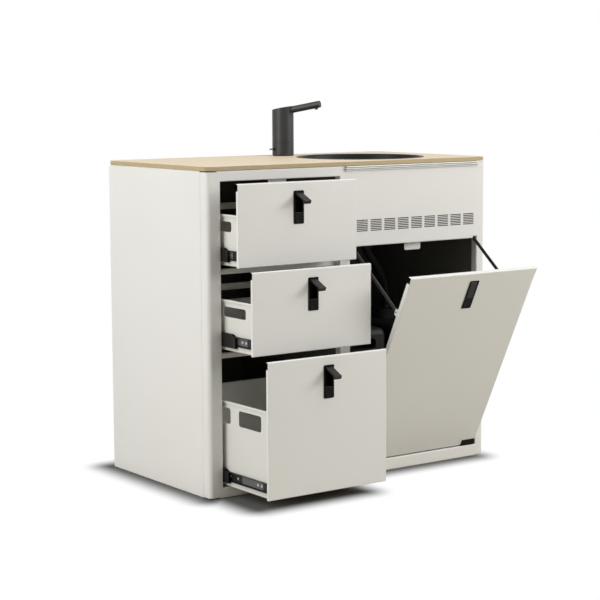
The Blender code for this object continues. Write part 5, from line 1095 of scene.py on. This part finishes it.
bowl = rounded(
    (DRAIN, DRAIN_TOP, 0), (BOWL_FOOT, BOWL_LOW, BOWL_ROUND), (SHOULDER, SHOULDER_TOP, SHOULDER_ROUND),
    (SINK_HOLE, RIM_TOP, RIM_ROUND), (RIM_OUT - RIM_EDGE, RIM_TOP, RIM_ROUND), (RIM_OUT, HEIGHT + GAP, 0),
    (NECK, HEIGHT + GAP, 0), (NECK, NECK_LOW, 0), (BOWL_FOOT_OUT, BOWL_LOW_OUT, BOWL_ROUND_OUT),
    (DRAIN, DRAIN_LOW, 0), spans=8)
dress(revolved("sink_bowl_drawn", bowl, SINK_X, SINK_Y, 128),
      coated_metal("black_coated_sink_steel", 0.18), "cabinet", "sink_bowl")
waste = rounded(
    (WASTE_BORE, DRAIN_TOP, 0), (WASTE_DISH, DRAIN_TOP, WASTE_ROUND),
    (DISH_EDGE, DISH_EDGE_TOP, WASTE_ROUND), (DISH_OUT, DISH_LOW, 0), (WASTE_NECK, WASTE_NECK_TOP, 0),
    (WASTE_NECK, WASTE_SEAT, 0), (WASTE_NUT, WASTE_SEAT, WASTE_ROUND),
    (WASTE_NUT, WASTE_NUT_LOW, WASTE_ROUND), (WASTE_TAIL, WASTE_NUT_LOW, 0),
    (WASTE_TAIL, WASTE_TAIL_LOW, WASTE_ROUND), (WASTE_BORE, WASTE_TAIL_LOW, 0))
dress(revolved("sink_waste_fitting", waste, SINK_X, SINK_Y), bright_zinc, "cabinet", "sink_waste")

# Tap: column of coated metal, 65 mm thick, cut off at the spout's slope. Its upper part swivels
# on the base above a fine seam; a short pin at the left of the base works the pump.
TAP_RADIUS, TAP_SEAM, TAP_EDGE, TAP_FOOT_EDGE, SEAM_EDGE = 0.0325, 0.9403, 0.0012, 0.0035, 0.0002
TAP_SHANK, TAP_SHANK_LONG, TAP_NUT, TAP_NUT_HIGH, TAP_NUT_EDGE = 0.012, 0.045, 0.022, 0.010, 0.001
COLUMN_LOW, LEFT_HEIGHT = 0.9406, 1.0380
SPOUT_RADIUS, SPOUT_REACH, SPOUT_SLOPE = 0.0104, 0.122, math.radians(10.5)
NOZZLE_RADIUS, NOZZLE_DROP, NOZZLE_INSET = 0.0048, 0.008, 0.012
NOZZLE_WALL, NOZZLE_LIP, NOZZLE_DEEP, NOZZLE_EDGE = 0.0012, 0.0010, 0.002, 0.0004
TAP_PIN, TAP_PIN_OUT, TAP_PIN_IN, TAP_PIN_Z, TAP_PIN_ROOM = 0.0021, 0.0165, 0.020, 0.9208, 0.0065
TAP_PIN_EDGE, POCKET_ROUND_SHARE = 0.0006, 0.9


def build_tap():
    """Base, then column, spout and nozzle joined; all on the black coating."""
    foot, board = HEIGHT + GAP, HEIGHT - BOARD_THICK - GAP
    nut, end = board - TAP_NUT_HIGH, board + GAP - TAP_SHANK_LONG
    outline = rounded(
        (0, TAP_SEAM, 0), (TAP_RADIUS, TAP_SEAM, SEAM_EDGE), (TAP_RADIUS, foot, TAP_FOOT_EDGE),
        (TAP_SHANK, foot, 0), (TAP_SHANK, board, 0), (TAP_NUT, board, 0), (TAP_NUT, nut, TAP_NUT_EDGE),
        (TAP_SHANK, nut, 0), (TAP_SHANK, end, 0), (0, end, 0))
    base = revolved("tap_base", outline, TAP_X, TAP_Y, 96)
    side, left = TAP_PIN + GAP, TAP_X - TAP_RADIUS
    pocket = rectangle(TAP_Y - side, TAP_Y + side, TAP_PIN_Z - TAP_PIN_ROOM, TAP_PIN_Z + TAP_PIN_ROOM,
                       side * POCKET_ROUND_SHARE)
    combined(base, prism("pocket", pocket, 0, left - CUT_OVER, left + TAP_PIN_IN))
    dress(base, black_metal, "cabinet", "faucet_base")
    pin = skin("tap_lever_pin", *rod_skin(TAP_PIN_IN - side + TAP_PIN_OUT, TAP_PIN, TAP_PIN_EDGE, 24))
    dress(pin, black_metal, "faucet_lever", "faucet_lever",
          where=placed(left - TAP_PIN_OUT, TAP_Y, TAP_PIN_Z))

    rise = math.tan(SPOUT_SLOPE)
    middle = LEFT_HEIGHT + TAP_RADIUS * rise - COLUMN_LOW
    x, y = around(96)
    bend = np.linspace(0, math.pi / 2, 5)
    radii = [0, TAP_RADIUS - SEAM_EDGE, TAP_RADIUS, *(TAP_RADIUS - TAP_EDGE * (1 - np.cos(bend))), 0]
    lifts = [0, 0, SEAM_EDGE, *(TAP_EDGE * (np.sin(bend) - 1)), 0]
    rings = np.stack([np.stack([r * x, r * y, lift + (middle + r * x * rise if i > 2 else 0 * x)],
                               axis=1) for i, (r, lift) in enumerate(zip(radii, lifts))])
    column = skin("tap_column_and_spout", *ring_skin(rings))
    drop = SPOUT_RADIUS / math.cos(SPOUT_SLOPE) + GAP
    spout = skin("spout", *rod_skin(SPOUT_REACH / math.cos(SPOUT_SLOPE), SPOUT_RADIUS, TAP_EDGE))
    spout.data.transform(Matrix.Translation((0, 0, middle - drop))
                         @ Matrix.Rotation(-SPOUT_SLOPE, 4, "Y"))
    combined(column, spout, "UNION")
    out = SPOUT_REACH - NOZZLE_INSET
    low = middle - drop + out * rise - SPOUT_RADIUS - NOZZLE_DROP / 2
    ring = rounded(
        (0, low + NOZZLE_DEEP, 0), (NOZZLE_RADIUS - NOZZLE_WALL, low + NOZZLE_DEEP, 0),
        (NOZZLE_RADIUS - NOZZLE_LIP, low, NOZZLE_EDGE), (NOZZLE_RADIUS, low, NOZZLE_EDGE),
        (NOZZLE_RADIUS, low + NOZZLE_DROP, 0), (0, low + NOZZLE_DROP, 0))
    combined(column, revolved("nozzle", ring, out, 0, 32), "UNION")
    turn = Matrix.Rotation(math.atan2(SINK_Y - TAP_Y, SINK_X - TAP_X), 4, "Z")
    dress(column, black_metal, "faucet_column", "faucet_column",
          where=placed(TAP_X, TAP_Y, COLUMN_LOW) @ turn)


black_metal = coated_metal("black_coated_brass", 0.5)
build_tap()

# Canisters and hoses: two blow-moulded polyethylene canisters with screw caps stand in the bay.
# A thin hose brings fresh water up to the tap and a thick one takes the sink's waste down.
GLAND_Y, GLAND_TOP = 0.286, 0.4406
HOSES = (("supply_hose", (0.5932, GLAND_Y, GLAND_TOP), (TAP_X, TAP_Y, 0.8427), 0.006),
         ("waste_hose", (0.8335, GLAND_Y, GLAND_TOP), (SINK_X, SINK_Y, 0.7217), 0.0125))
HOSE_LEAD, HOSE_RISE, HOSE_POINTS, CANISTER_EDGE = 0.010, 0.120, 24, 0.0008


def polyethylene():
    """Blow-moulded polyethylene: waxy, slightly uneven skin."""
    return finish("polyethylene_black", "tank_plastic", {"IOR": 1.51, "Specular IOR Level": 0.35},
                  ((70,), "#191917", "#131312"), ((25,), 0.50, 0.62), ((12,), 0.10, 0.0004))


def rubber():
    """Extruded rubber hose: dull, with faint lengthwise drag marks."""
    marks = (6, 2.0, (6.0, 6.0, 0.4))
    return finish("rubber_hose_black", "hose_rubber", {"IOR": 1.52, "Specular IOR Level": 0.3},
                  (marks, "#151514", "#1B1B1A"), (marks, 0.60, 0.72))


def build_canisters():
    """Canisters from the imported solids."""
    plastic = polyethylene()
    for node in ("fresh_tank", "waste_tank"):
        dress(recast(node + "_moulded", node, CANISTER_EDGE), plastic, "cabinet", node, where=IN_PLACE)


def build_hoses():
    """Round tubes on Bezier routes that leave both ends straight up and down."""
    material, slot = rubber()
    lead, rise = Vector((0, 0, HOSE_LEAD)), Vector((0, 0, HOSE_RISE))
    for node, low, high, radius in HOSES:
        low, high = Vector(low) + CABINET_CORNER, Vector(high) + CABINET_CORNER
        start, end = low + lead, high - lead
        route = [low, *interpolate_bezier(start, start + rise, end - rise, end, HOSE_POINTS), high]
        curve = bpy.data.curves.new(node + "_tube", "CURVE")
        curve.dimensions = "3D"
        curve.bevel_depth = radius
        curve.bevel_resolution = 6
        curve.use_fill_caps = True
        spline = curve.splines.new("POLY")
        spline.points.add(len(route) - 1)
        for place, point in zip(spline.points, route):
            place.co = (*point, 1.0)
        spline.use_smooth = True
        tube = linked(node + "_tube", curve)
        curve.materials.append(material)
        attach(tube, "cabinet")
        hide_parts(node)


build_canisters()
build_hoses()
